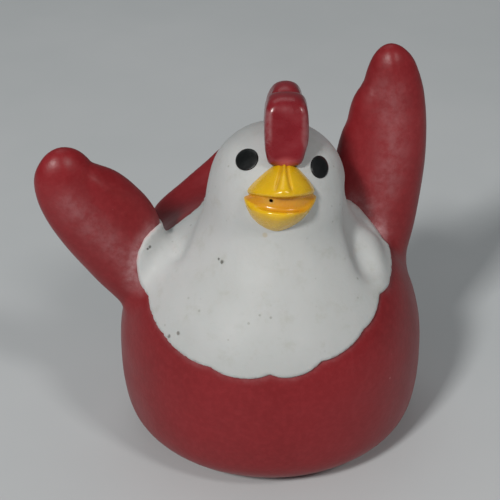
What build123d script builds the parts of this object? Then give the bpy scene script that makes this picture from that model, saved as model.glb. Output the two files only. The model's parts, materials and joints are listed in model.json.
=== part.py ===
from build123d import *
import os
from math import sin, cos, tan, acos, atan2, radians, degrees, pi, sqrt

# Wind-up hopping chicken: a soft hollow shell on a small clockwork motor that kicks two feet.
# Millimetres, +Z up. The origin is on the table, under the body's vertical axis, where the soles stand.
# The breast faces -Y, the tail and the winding knob are at +Y, the chicken's left side is +X.

os.makedirs("parts", exist_ok=True)

# ---------------------------------------------------------------- driving dimensions
wall = 1.8                    # soft shell thickness
rim_z = 1.0                   # underside of the shell's rim above the table
rim_r = 21.5                  # bottom opening of the shell
ledge_z = 4.0                 # top of the inward rim that the base plate snaps over
neck_hole_r = 8.0             # opening at the top of the body for the head's spigot
cape_t = 0.55                 # how far the white cape stands proud of the body
body_profile = [(24.2, 1.0), (27.9, 4.6), (29.2, 10.5), (29.4, 18.0), (28.8, 24.0), (26.8, 30.5),
                (23.3, 36.0), (17.5, 41.0), (9.0, 45.0), (0.0, 46.5)]
head_profile = [(0.0, 13.2), (6.3, 11.5), (10.9, 7.2), (12.9, 0.8), (13.5, -6.0), (14.6, -12.0),
                (16.6, -18.5)]
head_centre = Vector(0.9, -2.5, 50.8)
head_lean_back = 8.0          # degrees, about X
head_lean_side = 1.5          # degrees, about Y
face_turn = 9.3               # degrees, the face looks a little to its own right
face_roll = 6.5               # degrees, the face is a little askew
# motor, all arbors parallel to Y
module = 0.5
arbor_a = (-3.5, 16.5)        # mainspring arbor (x, z)
arbor_c = (7.9, 14.3)         # crank arbor
teeth_main, teeth_ip, teeth_ig, teeth_cp, teeth_cg, teeth_gp = 40, 10, 32, 10, 30, 8
plate_front = (-9.4, -8.2)    # y of the two faces of the front plate
plate_rear = (7.0, 8.2)
r_a, r_b, r_c, r_d = 1.25, 0.75, 0.75, 0.6
run = 0.05                    # radial running clearance
y_main = (-0.2, 0.9)
y_ip = (-0.4, 1.1)
y_ig = (-2.2, -1.2)
y_cp = (-2.4, -1.0)
y_cg = (-4.2, -3.2)
y_cam = (-7.8, -4.6)
y_gp = (-4.4, -3.0)
y_fly = (-7.4, -5.4)
y_ratchet = (1.2, 2.2)
y_spring = (2.9, 6.5)
cam_r, cam_e = 3.2, 1.28      # eccentric cam: radius and throw
tappet_gap = 0.42             # clearance at the opened cam and tappet contact
foot_hinge = (4.5, 5.8)       # (y, z) of the foot axle
axle_r = 0.8
base_z = (2.0, 4.0)           # base plate faces


# ---------------------------------------------------------------- geometry helpers
def inset(points, d):
    """Points moved by d to the inside of a profile that runs upwards on its right-hand side."""
    out = []
    for i, p in enumerate(points):
        a = points[max(i - 1, 0)]
        b = points[min(i + 1, len(points) - 1)]
        tx, tz = b[0] - a[0], b[1] - a[1]
        if i == len(points) - 1:
            tx, tz = -1.0, 0.0
        n = sqrt(tx * tx + tz * tz)
        out.append((max(p[0] - d * tz / n, 0.0), p[1] + d * tx / n))
    return out


def smooth(points, n=6):
    """Catmull-Rom curve through the points, n steps between two of them."""
    p = [tuple(2 * points[0][i] - points[1][i] for i in (0, 1))] + list(points)
    p.append(tuple(2 * points[-1][i] - points[-2][i] for i in (0, 1)))
    out = []
    for k in range(1, len(p) - 2):
        for j in range(n):
            t = j / n
            out.append(tuple(0.5 * (2 * p[k][i] + (p[k + 1][i] - p[k - 1][i]) * t
                                    + (2 * p[k - 1][i] - 5 * p[k][i] + 4 * p[k + 1][i] - p[k + 2][i]) * t ** 2
                                    + (3 * p[k][i] - p[k - 1][i] - 3 * p[k + 1][i] + p[k + 2][i]) * t ** 3)
                             for i in (0, 1)))
    out.append(tuple(points[-1]))
    return out


def gear_outline(n, centre, phase, addendum=0.8, dedendum=1.15, backlash=0.2):
    """Closed outline of an involute spur gear, 20 degree pressure angle, as (x, z) points."""
    r = n * module / 2
    rb = r * cos(radians(20))
    ra = r + addendum * module
    rf = r - dedendum * module
    inv20 = tan(radians(20)) - radians(20)
    t = pi * module / 2 - backlash

    def half(rr):
        if rr < rb:
            return max(t / (2 * r) + inv20 - 0.6 * (rb - rr) / r, 0.2 / rr)
        a = acos(rb / rr)
        return t / (2 * r) + inv20 - (tan(a) - a)

    rs = sorted({round(v, 4) for v in (rf, max(rb, rf + 0.03), r, ra)})
    pts = []
    for k in range(n):
        a = phase + 2 * pi * k / n
        for rr in rs:
            pts.append((centre[0] + rr * cos(a - half(rr)), centre[1] + rr * sin(a - half(rr))))
        for rr in rs[::-1]:
            pts.append((centre[0] + rr * cos(a + half(rr)), centre[1] + rr * sin(a + half(rr))))
    return pts


def mated_phase(phase1, n1, n2, line):
    """Phase of a gear that meshes with another, the line of centres being at the angle line."""
    return line + pi + pi / n2 - (phase1 - line) * n1 / n2


def direction(p, q):
    return atan2(q[1] - p[1], q[0] - p[0])


# ---------------------------------------------------------------- arbor positions from the gear sizes
d_ab = (teeth_main + teeth_ip) * module / 2
d_bc = (teeth_ig + teeth_cp) * module / 2
d_cd = (teeth_cg + teeth_gp) * module / 2
d_ac = sqrt((arbor_c[0] - arbor_a[0]) ** 2 + (arbor_c[1] - arbor_a[1]) ** 2)
ang_b = direction(arbor_a, arbor_c) + acos((d_ab ** 2 + d_ac ** 2 - d_bc ** 2) / (2 * d_ab * d_ac))
arbor_b = (arbor_a[0] + d_ab * cos(ang_b), arbor_a[1] + d_ab * sin(ang_b))
arbor_d = (arbor_c[0] + d_cd * cos(radians(10)), arbor_c[1] + d_cd * sin(radians(10)))

ph_main = 0.0
ph_ip = mated_phase(ph_main, teeth_main, teeth_ip, direction(arbor_a, arbor_b))
ph_ig = 0.1
ph_cp = mated_phase(ph_ig, teeth_ig, teeth_cp, direction(arbor_b, arbor_c))
ph_cg = 0.0
ph_gp = mated_phase(ph_cg, teeth_cg, teeth_gp, direction(arbor_c, arbor_d))

# ---------------------------------------------------------------- frames of the head and the wings
body_curve = smooth(body_profile)
body_in = inset(body_curve, wall)
head_plane = Plane(origin=head_centre, x_dir=(1, 0, 0), z_dir=(0, 0, 1)).rotated((-head_lean_back, 0, 0))
head_axis = Axis(head_centre, head_plane.z_dir)
head_cut = Plane(origin=head_centre, x_dir=head_plane.x_dir, z_dir=-head_plane.y_dir)   # (x, z) section
face_x = Vector(cos(radians(face_turn)), -sin(radians(face_turn)), 0)
face_y = Vector(sin(radians(face_turn)), cos(radians(face_turn)), 0)


def to_world(v):
    """Head coordinates to world directions."""
    return head_plane.x_dir * v.X + head_plane.y_dir * v.Y + head_plane.z_dir * v.Z


comb_x = to_world(face_x)
comb_y = to_world(face_y)
comb_z = head_plane.z_dir
fr = radians(face_roll)
feat_x = comb_x * cos(fr) - comb_z * sin(fr)
feat_z = comb_x * sin(fr) + comb_z * cos(fr)
feat_o = head_centre + comb_x * 0.35 + comb_z * 3.2
feat_front = -comb_y

wing_l_o, wing_l_v, wing_l_w = Vector(-19.8, 0, 31.0), Vector(-0.565, -0.02, 0.825), Vector(0.05, -0.97, 0.25)
wing_r_o, wing_r_v, wing_r_w = Vector(21.5, 3, 33), Vector(0.075, 0.10, 0.95), Vector(-0.05, -0.98, 0.12)


def wing_axes(v, w):
    v = v.normalized()
    w = (w - v * w.dot(v)).normalized()
    return v.cross(w), v, w


# main feather and the two shorter feathers beside it: (station, offset, half width, half thickness)
def feather_main(n):
    return [(-6.0, 0.6, 6.6, 3.9), (2.0, 0.6, 7.1, 3.9), (n * 0.40, 0.4, 7.6, 3.7), (n * 0.66, 0.0, 7.1, 3.4),
            (n - 6.0, -0.6, 5.9, 3.2), (n - 2.6, -0.7, 4.5, 2.8), (n - 0.7, -0.8, 2.4, 1.7), (n, -0.8, 0.8, 0.6)]


def feather_second(n):
    return [(-5.0, 2.2, 6.0, 3.3), (2.0, 2.3, 6.2, 3.35), (n - 22.0, 2.5, 6.2, 3.3), (n - 16.0, 2.7, 5.9, 3.2),
            (n - 11.8, 2.9, 4.7, 2.8), (n - 9.6, 3.0, 3.0, 2.0), (n - 8.8, 3.0, 1.4, 1.0)]


def feather_third(n):
    return [(-5.0, 3.2, 5.6, 3.0), (1.0, 3.8, 5.6, 3.05), (n - 28.0, 4.4, 5.4, 3.0), (n - 23.0, 4.8, 4.8, 2.9),
            (n - 19.8, 5.0, 3.8, 2.5), (n - 18.0, 5.1, 2.4, 1.8), (n - 17.3, 5.1, 1.1, 0.9)]


wing_l_n, wing_r_n = 35.5, 41.0

# ---------------------------------------------------------------- construction forms
with BuildPart() as body_form:
    with BuildSketch(Plane.XZ):
        with BuildLine():
            Spline(*body_curve)
            Polyline((0, 46.5), (0, rim_z), (24.2, rim_z))
        make_face()
    revolve(axis=Axis.Z)

with BuildPart() as cape_ring:
    skin_in = inset(body_curve, -0.04)[20:]
    skin_out = inset(body_curve, -cape_t)[20:]
    with BuildSketch(Plane.XZ):
        with BuildLine():
            Spline(*skin_in)
            Spline(*skin_out)
            Line(skin_in[0], skin_out[0])
            Line(skin_in[-1], skin_out[-1])
        make_face()
    revolve(axis=Axis.Z)


def head_points(d):
    """Head profile grown by d, top to bottom."""
    return inset(smooth(head_profile[::-1]), -d)[::-1]


with BuildPart() as head_form:
    hp = head_points(0)
    with BuildSketch(head_cut):
        with BuildLine():
            Spline(*hp)
            Polyline(hp[-1], (0, hp[-1][1]), (0, hp[0][1]))
        make_face()
    revolve(axis=head_axis)

with BuildPart() as head_skin_form:
    hs = head_points(0.35)
    with BuildSketch(head_cut):
        with BuildLine():
            Spline(*hs)
            Polyline(hs[-1], (0, hs[-1][1]), (0, hs[0][1]))
        make_face()
    revolve(axis=head_axis)

with BuildPart() as head_hollow:
    hh = head_points(-wall)
    with BuildSketch(head_cut):
        with BuildLine():
            Spline(*hh)
            Polyline(hh[-1], (0, hh[-1][1]), (0, hh[0][1]))
        make_face()
    revolve(axis=head_axis)


def feather(stations, origin, u, v, side, shrink=0.0):
    """Section planes of one feather, from the root to the tip."""
    planes = []
    for s, off, hw, ht in stations:
        p = Plane(origin=origin + v * s + u * (side * off), x_dir=u, z_dir=v)
        planes.append((p, max(hw - shrink, 0.4), max(ht - shrink, 0.3)))
    return planes


ul, vl, wl = wing_axes(wing_l_v, wing_l_w)
ur, vr, wr = wing_axes(wing_r_v, wing_r_w)

with BuildPart() as wing_left_form:
    for p, a, b in feather(feather_main(wing_l_n), wing_l_o, ul, vl, 1):
        with BuildSketch(p):
            Ellipse(a, b)
    loft()
with BuildPart() as wing_left_second:
    for p, a, b in feather(feather_second(wing_l_n), wing_l_o, ul, vl, 1):
        with BuildSketch(p):
            Ellipse(a, b)
    loft()
with BuildPart() as wing_left_third:
    for p, a, b in feather(feather_third(wing_l_n), wing_l_o, ul, vl, 1):
        with BuildSketch(p):
            Ellipse(a, b)
    loft()
with BuildPart() as wing_right_form:
    for p, a, b in feather(feather_main(wing_r_n), wing_r_o, ur, vr, -1):
        with BuildSketch(p):
            Ellipse(a, b)
    loft()
with BuildPart() as wing_right_second:
    for p, a, b in feather(feather_second(wing_r_n), wing_r_o, ur, vr, -1):
        with BuildSketch(p):
            Ellipse(a, b)
    loft()
with BuildPart() as wing_right_third:
    for p, a, b in feather(feather_third(wing_r_n), wing_r_o, ur, vr, -1):
        with BuildSketch(p):
            Ellipse(a, b)
    loft()

# tail: a flattened cone that rises behind the head
tail_a, tail_b = Vector(-1.0, 12.0, 21.0), Vector(-2.5, 35.0, 43.5)
tail_v = (tail_b - tail_a).normalized()
tail_len = (tail_b - tail_a).length
tail_st = [(0.0, 24.0, 10.0), (0.35, 19.5, 8.2), (0.62, 14.6, 6.6), (0.84, 10.4, 5.2), (0.95, 7.2, 3.9), (1.0, 4.4, 2.4)]
with BuildPart() as tail_form:
    for s, a, b in tail_st:
        with BuildSketch(Plane(origin=tail_a + tail_v * (tail_len * s), x_dir=(1, 0, 0), z_dir=tail_v)):
            Ellipse(a, b)
    loft()
with BuildPart() as tail_hollow:
    for s, a, b in tail_st[:4]:
        with BuildSketch(Plane(origin=tail_a + tail_v * (tail_len * s), x_dir=(1, 0, 0), z_dir=tail_v)):
            Ellipse(a - 2.2, b - 2.2)
    loft()
with BuildPart() as wing_left_hollow:
    for p, a, b in feather(feather_main(wing_l_n)[:5], wing_l_o, ul, vl, 1, shrink=2.0):
        with BuildSketch(p):
            Ellipse(a, b)
    loft()
with BuildPart() as wing_right_hollow:
    for p, a, b in feather(feather_main(wing_r_n)[:5], wing_r_o, ur, vr, -1, shrink=2.0):
        with BuildSketch(p):
            Ellipse(a, b)
    loft()

# ---------------------------------------------------------------- outer shell
with BuildPart() as body_shell:
    add(body_form.part)
    for w in (wing_left_form, wing_left_second, wing_left_third,
              wing_right_form, wing_right_second, wing_right_third, tail_form):
        add(w.part)
    with BuildSketch(Plane.XZ):
        with BuildLine():
            inner = [p for p in body_in if p[1] > 5.4]
            Spline(*inner)
            Polyline(inner[-1], (0, 0.0), (rim_r, 0.0), (rim_r, ledge_z), (24.6, ledge_z), inner[0])
        make_face()
    revolve(axis=Axis.Z, mode=Mode.SUBTRACT)
    add(wing_left_hollow.part, mode=Mode.SUBTRACT)
    add(wing_right_hollow.part, mode=Mode.SUBTRACT)
    add(tail_hollow.part, mode=Mode.SUBTRACT)
    with BuildSketch(Plane.XY.offset(36)):
        Circle(neck_hole_r)
    extrude(amount=20, mode=Mode.SUBTRACT)
    with BuildSketch(Plane.XZ.offset(-20)):
        with Locations(arbor_a):
            Circle(3.0)
    extrude(amount=-12, mode=Mode.SUBTRACT)

body_shell.part.label = "body_shell"
export_step(body_shell.part, "parts/body_shell.step")

# ---------------------------------------------------------------- head and cape
# scalloped edge of the white cape in plan: cusps and the lobe tops between them, then across the back
cape_edge = [(-21.9, -16.5), (-19.4, -20.9), (-16.0, -23.5), (-10.9, -27.1), (-5.1, -28.1), (-0.6, -28.9),
             (4.0, -28.0), (8.7, -27.2), (12.5, -23.6), (15.6, -21.4), (17.4, -17.4), (20.6, -13.6),
             (21.3, -8.6), (23.2, -4.2), (21.6, 0.6), (21.6, 5.4), (18.4, 8.6), (16.2, 12.6), (11.6, 13.4),
             (7.0, 16.2), (2.4, 14.6), (-2.4, 16.4), (-7.0, 14.6), (-11.6, 15.6), (-15.4, 12.6), (-19.4, 11.4),
             (-21.2, 6.8), (-24.4, 3.2), (-24.2, -2.0), (-26.2, -7.4), (-24.0, -11.4), (-24.0, -14.4)]
with BuildPart() as cape_column:
    with BuildSketch(Plane.XY.offset(23)):
        with BuildLine():
            n_edge = len(cape_edge)
            for k in range(0, n_edge, 2):
                ThreePointArc(cape_edge[k], cape_edge[k + 1], cape_edge[(k + 2) % n_edge])
        make_face()
    extrude(amount=30)

with BuildPart() as cape_skin:
    add(cape_ring.part)
    add(cape_column.part, mode=Mode.INTERSECT)
    for w in (wing_left_form, wing_left_second, wing_left_third,
              wing_right_form, wing_right_second, wing_right_third, tail_form):
        add(w.part, mode=Mode.SUBTRACT)

with BuildPart() as head_floor:
    with BuildSketch(Plane.XY.offset(43.5)):
        with Locations((0.75, -3.3)):
            Circle(12.6)
    extrude(amount=3.6)
    add(body_form.part, mode=Mode.SUBTRACT)

with BuildPart() as head_shell:
    add(head_form.part)
    add(head_hollow.part, mode=Mode.SUBTRACT)
    add(body_form.part, mode=Mode.SUBTRACT)
    add(cape_skin.part)
    add(head_floor.part)
    with BuildSketch(Plane.XY.offset(40)):
        Circle(neck_hole_r)
    extrude(amount=6.5)
    with BuildSketch(Plane.XY.offset(36)):
        Circle(neck_hole_r - 1.4)
    extrude(amount=14, mode=Mode.SUBTRACT)
head_shell.part.label = "head_shell"
export_step(head_shell.part, "parts/head_shell.step")

# ---------------------------------------------------------------- comb, beak and eyes
comb_o = head_centre + comb_x * 1.0
comb_lobes = [((-7.0, 8.0), (-6.2, 13.0), 4.3, 3.6), ((0.5, 9.0), (1.0, 16.2), 4.4, 3.4), ((7.0, 7.6), (7.8, 12.6), 3.8, 3.2)]
with BuildPart() as comb:
    for p0, p1, lobe_r, half_t in comb_lobes:
        with BuildSketch(Plane(origin=comb_o, x_dir=comb_y, z_dir=comb_x)):
            with Locations(p0, p1):
                Circle(lobe_r)
            make_hull()
        extrude(amount=half_t, both=True)
    add(head_form.part, mode=Mode.SUBTRACT)
comb.part.label = "comb"
export_step(comb.part, "parts/comb.step")

beak_half, beak_rise = 5.7, 5.3
with BuildPart() as beak:
    for depth, k in ((8.0, 1.06), (12.5, 0.98), (15.6, 0.74), (18.2, 0.26)):
        with BuildSketch(Plane(origin=feat_o + feat_front * depth, x_dir=feat_x, z_dir=feat_front)):
            with BuildLine():
                Polyline((-beak_half * k, 0), (0, -beak_rise * k), (beak_half * k, 0), (0, beak_rise * k), close=True)
            make_face()
    loft(ruled=True)
    add(head_form.part, mode=Mode.SUBTRACT)
    add(comb.part, mode=Mode.SUBTRACT)
beak.part.label = "beak"
export_step(beak.part, "parts/beak.step")

eye_x, eye_z = 6.4, 4.95
with BuildPart() as eye_left:
    with BuildSketch(Plane(origin=feat_o + feat_x * eye_x + feat_z * eye_z + feat_front * 4.0,
                           x_dir=feat_x, z_dir=feat_front)):
        Ellipse(1.9, 2.4)
    extrude(amount=10)
    add(head_skin_form.part, mode=Mode.INTERSECT)
    add(head_form.part, mode=Mode.SUBTRACT)
eye_left.part.label = "eye_left"
export_step(eye_left.part, "parts/eye_left.step")

with BuildPart() as eye_right:
    with BuildSketch(Plane(origin=feat_o - feat_x * eye_x + feat_z * eye_z + feat_front * 4.0,
                           x_dir=feat_x, z_dir=feat_front)):
        Ellipse(1.9, 2.4)
    extrude(amount=10)
    add(head_skin_form.part, mode=Mode.INTERSECT)
    add(head_form.part, mode=Mode.SUBTRACT)
eye_right.part.label = "eye_right"
export_step(eye_right.part, "parts/eye_right.step")

# ---------------------------------------------------------------- base plate and its screws
screw_xy = [(-11.0, -11.4), (12.0, -11.4), (-11.0, 10.4), (12.0, 10.4)]
leg_x = 9.3
arm_x = (5.2, 7.2)
lug_x = (12.6, 14.4)
hy, hz = foot_hinge
with BuildPart() as base_plate:
    with BuildSketch(Plane.XY.offset(base_z[0])):
        Circle(rim_r - 0.1)
    extrude(amount=base_z[1] - base_z[0])
    with BuildSketch(Plane.XY.offset(base_z[1])):
        Circle(rim_r + 1.6)
        Circle(rim_r - 0.6, mode=Mode.SUBTRACT)
    extrude(amount=0.8)
    # bearing lugs of the foot axle
    for s in (-1, 1):
        with BuildSketch(Plane.YZ.offset(s * (lug_x[0] + lug_x[1]) / 2)):
            with Locations((hy, (base_z[1] - 0.5 + hz) / 2)):
                Rectangle(3.6, hz - base_z[1] + 0.5)
            with Locations((hy, hz)):
                Circle(1.8)
        extrude(amount=(lug_x[1] - lug_x[0]) / 2, both=True)
    # slots for the two legs and for the lever's arm
    with BuildSketch(Plane.XY.offset(0)):
        with Locations((leg_x, 4.4), (-leg_x, 4.4)):
            Rectangle(4.6, 9.6)
        with Locations(((arm_x[0] + arm_x[1]) / 2 + 0.3, -3.3)):
            Rectangle(3.2, 13.4)
    extrude(amount=8, mode=Mode.SUBTRACT)
    with BuildSketch(Plane.YZ):
        with Locations((hy, hz)):
            Circle(axle_r)
    extrude(amount=20, both=True, mode=Mode.SUBTRACT)
    with Locations(*[Location((x, y, base_z[0]), (180, 0, 0)) for x, y in screw_xy]):
        CounterBoreHole(radius=0.95, counter_bore_radius=1.9, counter_bore_depth=0.9, depth=8)
    chamfer(base_plate.edges().filter_by(GeomType.CIRCLE).group_by(Axis.Z)[0].sort_by(SortBy.RADIUS)[-1], 0.3)
base_plate.part.label = "base_plate"
export_step(base_plate.part, "parts/base_plate.step")

with BuildPart() as base_screws:
    with BuildSketch(Plane.XY.offset(base_z[0] + 0.05)):
        with Locations(*screw_xy):
            Circle(1.75)
    extrude(amount=0.85)
    with BuildSketch(Plane.XY.offset(base_z[0] + 0.9)):
        with Locations(*screw_xy):
            Circle(0.9)
    extrude(amount=4.9)
    with BuildSketch(Plane.XY.offset(base_z[0] + 0.05)):
        with Locations(*screw_xy):
            Rectangle(2.2, 0.45)
            Rectangle(0.45, 2.2)
    extrude(amount=0.5, mode=Mode.SUBTRACT)
base_screws.part.label = "base_screws"
export_step(base_screws.part, "parts/base_screws.step")

# ---------------------------------------------------------------- motor frame
plate_outline = [(-14.0, 4.0), (14.5, 4.0), (17.0, 7.0), (22.0, 8.0), (22.0, 26.0), (15.0, 34.2), (-9.0, 34.2),
                 (-15.4, 27.0), (-15.4, 7.6)]
pillars = [(-13.2, 9.4), (19.6, 9.4), (-12.0, 28.6), (14.6, 31.2)]
post_xz = (arbor_a[0] + 9.6 * cos(radians(135)), arbor_a[1] + 9.6 * sin(radians(135)))

with BuildPart() as motor_plate_front:
    with BuildSketch(Plane.XZ.offset(-plate_front[1])):
        with BuildLine():
            Polyline(*plate_outline, close=True)
        make_face()
        with Locations(arbor_a):
            Circle(r_a + run, mode=Mode.SUBTRACT)
        with Locations(arbor_b):
            Circle(r_b + run, mode=Mode.SUBTRACT)
        with Locations(arbor_c):
            Circle(r_c + run, mode=Mode.SUBTRACT)
        with Locations(arbor_d):
            Circle(r_d + run, mode=Mode.SUBTRACT)
        with Locations(*pillars):
            Circle(0.7, mode=Mode.SUBTRACT)
    extrude(amount=plate_front[1] - plate_front[0])
    # foot flange, bent forwards
    with BuildSketch(Plane.XY.offset(4.0)):
        with Locations((0.25, plate_front[0] - 1.9)):
            Rectangle(28.5, 4.2)
        with Locations(screw_xy[0], screw_xy[1]):
            Circle(0.9, mode=Mode.SUBTRACT)
    extrude(amount=1.2)
motor_plate_front.part.label = "motor_plate_front"
export_step(motor_plate_front.part, "parts/motor_plate_front.step")

with BuildPart() as motor_plate_rear:
    with BuildSketch(Plane.XZ.offset(-plate_rear[1])):
        with BuildLine():
            Polyline(*plate_outline, close=True)
        make_face()
        with Locations(arbor_a):
            Circle(r_a + run, mode=Mode.SUBTRACT)
        with Locations(arbor_b):
            Circle(r_b + run, mode=Mode.SUBTRACT)
        with Locations(arbor_c):
            Circle(r_c + run, mode=Mode.SUBTRACT)
        with Locations(arbor_d):
            Circle(r_d + run, mode=Mode.SUBTRACT)
        with Locations(*pillars):
            Circle(0.7, mode=Mode.SUBTRACT)
        with Locations(post_xz):
            Circle(0.7, mode=Mode.SUBTRACT)
    extrude(amount=plate_rear[1] - plate_rear[0])
    with BuildSketch(Plane.XY.offset(4.0)):
        with Locations((0.25, plate_rear[1] + 1.9)):
            Rectangle(28.5, 4.2)
        with Locations(screw_xy[2], screw_xy[3]):
            Circle(0.9, mode=Mode.SUBTRACT)
    extrude(amount=1.2)
motor_plate_rear.part.label = "motor_plate_rear"
export_step(motor_plate_rear.part, "parts/motor_plate_rear.step")

with BuildPart() as plate_pillars:
    with BuildSketch(Plane.XZ.offset(-plate_rear[0])):
        with Locations(*pillars):
            Circle(1.5)
            Circle(0.7, mode=Mode.SUBTRACT)
    extrude(amount=plate_rear[0] - plate_front[1])
plate_pillars.part.label = "plate_pillars"
export_step(plate_pillars.part, "parts/plate_pillars.step")

with BuildPart() as plate_screws:
    with BuildSketch(Plane.XZ.offset(-plate_rear[1])):
        with Locations(*pillars):
            Circle(0.7)
    extrude(amount=4.0)
    with BuildSketch(Plane.XZ.offset(-(plate_rear[1] + 0.9))):
        with Locations(*pillars):
            Circle(1.35)
    extrude(amount=0.9)
    with BuildSketch(Plane.XZ.offset(-(plate_rear[1] + 0.9))):
        with Locations(*pillars):
            Rectangle(2.8, 0.4)
    extrude(amount=0.4, mode=Mode.SUBTRACT)
    with BuildSketch(Plane.XZ.offset(-(plate_front[0] + 4.0))):
        with Locations(*pillars):
            Circle(0.7)
    extrude(amount=4.0)
    with BuildSketch(Plane.XZ.offset(-plate_front[0])):
        with Locations(*pillars):
            Circle(1.35)
    extrude(amount=0.9)
    with BuildSketch(Plane.XZ.offset(-(plate_front[0] - 0.5))):
        with Locations(*pillars):
            Rectangle(2.8, 0.4)
    extrude(amount=0.4, mode=Mode.SUBTRACT)
plate_screws.part.label = "plate_screws"
export_step(plate_screws.part, "parts/plate_screws.step")

with BuildPart() as spring_post:
    with BuildSketch(Plane.XZ.offset(-plate_rear[1])):
        with Locations(post_xz):
            Circle(0.7)
    extrude(amount=plate_rear[1] - 2.6)
spring_post.part.label = "spring_post"
export_step(spring_post.part, "parts/spring_post.step")

# ---------------------------------------------------------------- winding arbor, knob, ratchet
with BuildPart() as winding_arbor:
    with BuildSketch(Plane.XZ.offset(-36.4)):
        with Locations(arbor_a):
            Circle(r_a)
    extrude(amount=36.4 - plate_front[0])
    with BuildSketch(Plane.XZ.offset(-y_spring[1])):
        with Locations(arbor_a):
            Circle(2.0)
    extrude(amount=y_spring[1] - y_spring[0])
winding_arbor.part.label = "winding_arbor"
export_step(winding_arbor.part, "parts/winding_arbor.step")

with BuildPart() as winding_knob:
    with BuildSketch(Plane.XZ.offset(-38.2)):
        with Locations(arbor_a):
            Circle(5.6)
            with PolarLocations(6.35, 14):
                Circle(1.1, mode=Mode.SUBTRACT)
    extrude(amount=5.6)
    with BuildSketch(Plane.XZ.offset(-38.2)):
        with Locations(arbor_a):
            Circle(3.4)
    extrude(amount=0.8, mode=Mode.SUBTRACT)
    with BuildSketch(Plane.XZ.offset(-32.6)):
        with Locations(arbor_a):
            Circle(2.6)
    extrude(amount=1.8)
    with BuildSketch(Plane.XZ.offset(-36.4)):
        with Locations(arbor_a):
            Circle(r_a)
    extrude(amount=8, mode=Mode.SUBTRACT)
winding_knob.part.label = "winding_knob"
export_step(winding_knob.part, "parts/winding_knob.step")

with BuildPart() as rear_grommet:
    with BuildSketch(Plane.XZ.offset(-29.5)):
        with Locations(arbor_a):
            Circle(3.0)
    extrude(amount=3.2)
    with BuildSketch(Plane.XZ.offset(-30.2)):
        with Locations(arbor_a):
            Circle(4.1)
    extrude(amount=0.75)
    with BuildSketch(Plane.XZ.offset(-31)):
        with Locations(arbor_a):
            Circle(1.5)
    extrude(amount=6, mode=Mode.SUBTRACT)
rear_grommet.part.label = "rear_grommet"
export_step(rear_grommet.part, "parts/rear_grommet.step")

n_ratchet = 12
ratchet_pts = []
for k in range(n_ratchet):
    a0 = pi / 2 + 2 * pi * k / n_ratchet
    ratchet_pts.append((arbor_a[0] + 3.1 * cos(a0), arbor_a[1] + 3.1 * sin(a0)))
    ratchet_pts.append((arbor_a[0] + 4.0 * cos(a0), arbor_a[1] + 4.0 * sin(a0)))
with BuildPart() as ratchet_wheel:
    with BuildSketch(Plane.XZ.offset(-y_ratchet[1])):
        with BuildLine():
            Polyline(*ratchet_pts, close=True)
        make_face()
        with Locations(arbor_a):
            Circle(r_a, mode=Mode.SUBTRACT)
    extrude(amount=y_ratchet[1] - y_ratchet[0])
ratchet_wheel.part.label = "ratchet_wheel"
export_step(ratchet_wheel.part, "parts/ratchet_wheel.step")

# mainspring: a flat strip wound around the arbor, its outer end looped over the post
turns, r_in, r_out, strip = 4.875, 2.45, 8.42, 0.34
a_end = radians(135)
spiral = []
n_sp = 98
for k in range(n_sp + 1):
    u = k / n_sp
    spiral.append((a_end - 2 * pi * turns * (1 - u), r_in + (r_out - r_in) * u))
outer_side = [(arbor_a[0] + (r + strip / 2) * cos(a), arbor_a[1] + (r + strip / 2) * sin(a)) for a, r in spiral]
inner_side = [(arbor_a[0] + (r - strip / 2) * cos(a), arbor_a[1] + (r - strip / 2) * sin(a)) for a, r in spiral]
with BuildPart() as mainspring:
    with BuildSketch(Plane.XZ.offset(-y_spring[1])):
        with BuildLine():
            Spline(*outer_side)
            Spline(*inner_side)
            Line(outer_side[0], inner_side[0])
            Line(outer_side[-1], inner_side[-1])
        make_face()
        with Locations(post_xz):
            Circle(1.2)
            Circle(0.76, mode=Mode.SUBTRACT)
    extrude(amount=y_spring[1] - y_spring[0])
mainspring.part.label = "mainspring"
export_step(mainspring.part, "parts/mainspring.step")

# ---------------------------------------------------------------- main gear with its click
rivet_xz = (arbor_a[0] + 5.4, arbor_a[1] + 3.8)
peg_xz = (arbor_a[0] - 2.0, arbor_a[1] + 7.2)
with BuildPart() as main_gear:
    with BuildSketch(Plane.XZ.offset(-y_main[1])):
        with BuildLine():
            Polyline(*gear_outline(teeth_main, arbor_a, ph_main), close=True)
        make_face()
        with Locations(arbor_a):
            Circle(r_a + run, mode=Mode.SUBTRACT)
        with Locations(rivet_xz, peg_xz):
            Circle(0.45, mode=Mode.SUBTRACT)
    extrude(amount=y_main[1] - y_main[0])
main_gear.part.label = "main_gear"
export_step(main_gear.part, "parts/main_gear.step")

click_pts = [(0.12, 3.28), (2.0, 3.85), (4.3, 3.1), (5.4, 2.55), (6.4, 3.0), (6.6, 3.9), (6.1, 4.8), (5.2, 5.1), (0.12, 4.6)]
with BuildPart() as click:
    with BuildSketch(Plane.XZ.offset(-y_ratchet[1])):
        with BuildLine():
            Polyline(*[(arbor_a[0] + x, arbor_a[1] + z) for x, z in click_pts], close=True)
        make_face()
        with Locations(rivet_xz):
            Circle(0.65, mode=Mode.SUBTRACT)
    extrude(amount=y_ratchet[1] - y_ratchet[0] - 0.1)
click.part.label = "click"
export_step(click.part, "parts/click.step")

with BuildPart() as click_rivet:
    with BuildSketch(Plane.XZ.offset(-2.3)):
        with Locations(rivet_xz):
            Circle(0.6)
    extrude(amount=2.3 - y_main[1])
    with BuildSketch(Plane.XZ.offset(-y_main[1])):
        with Locations(rivet_xz):
            Circle(0.45)
    extrude(amount=y_main[1] - y_main[0])
    with BuildSketch(Plane.XZ.offset(-2.65)):
        with Locations(rivet_xz):
            Circle(1.1)
    extrude(amount=0.4)
click_rivet.part.label = "click_rivet"
export_step(click_rivet.part, "parts/click_rivet.step")

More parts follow.
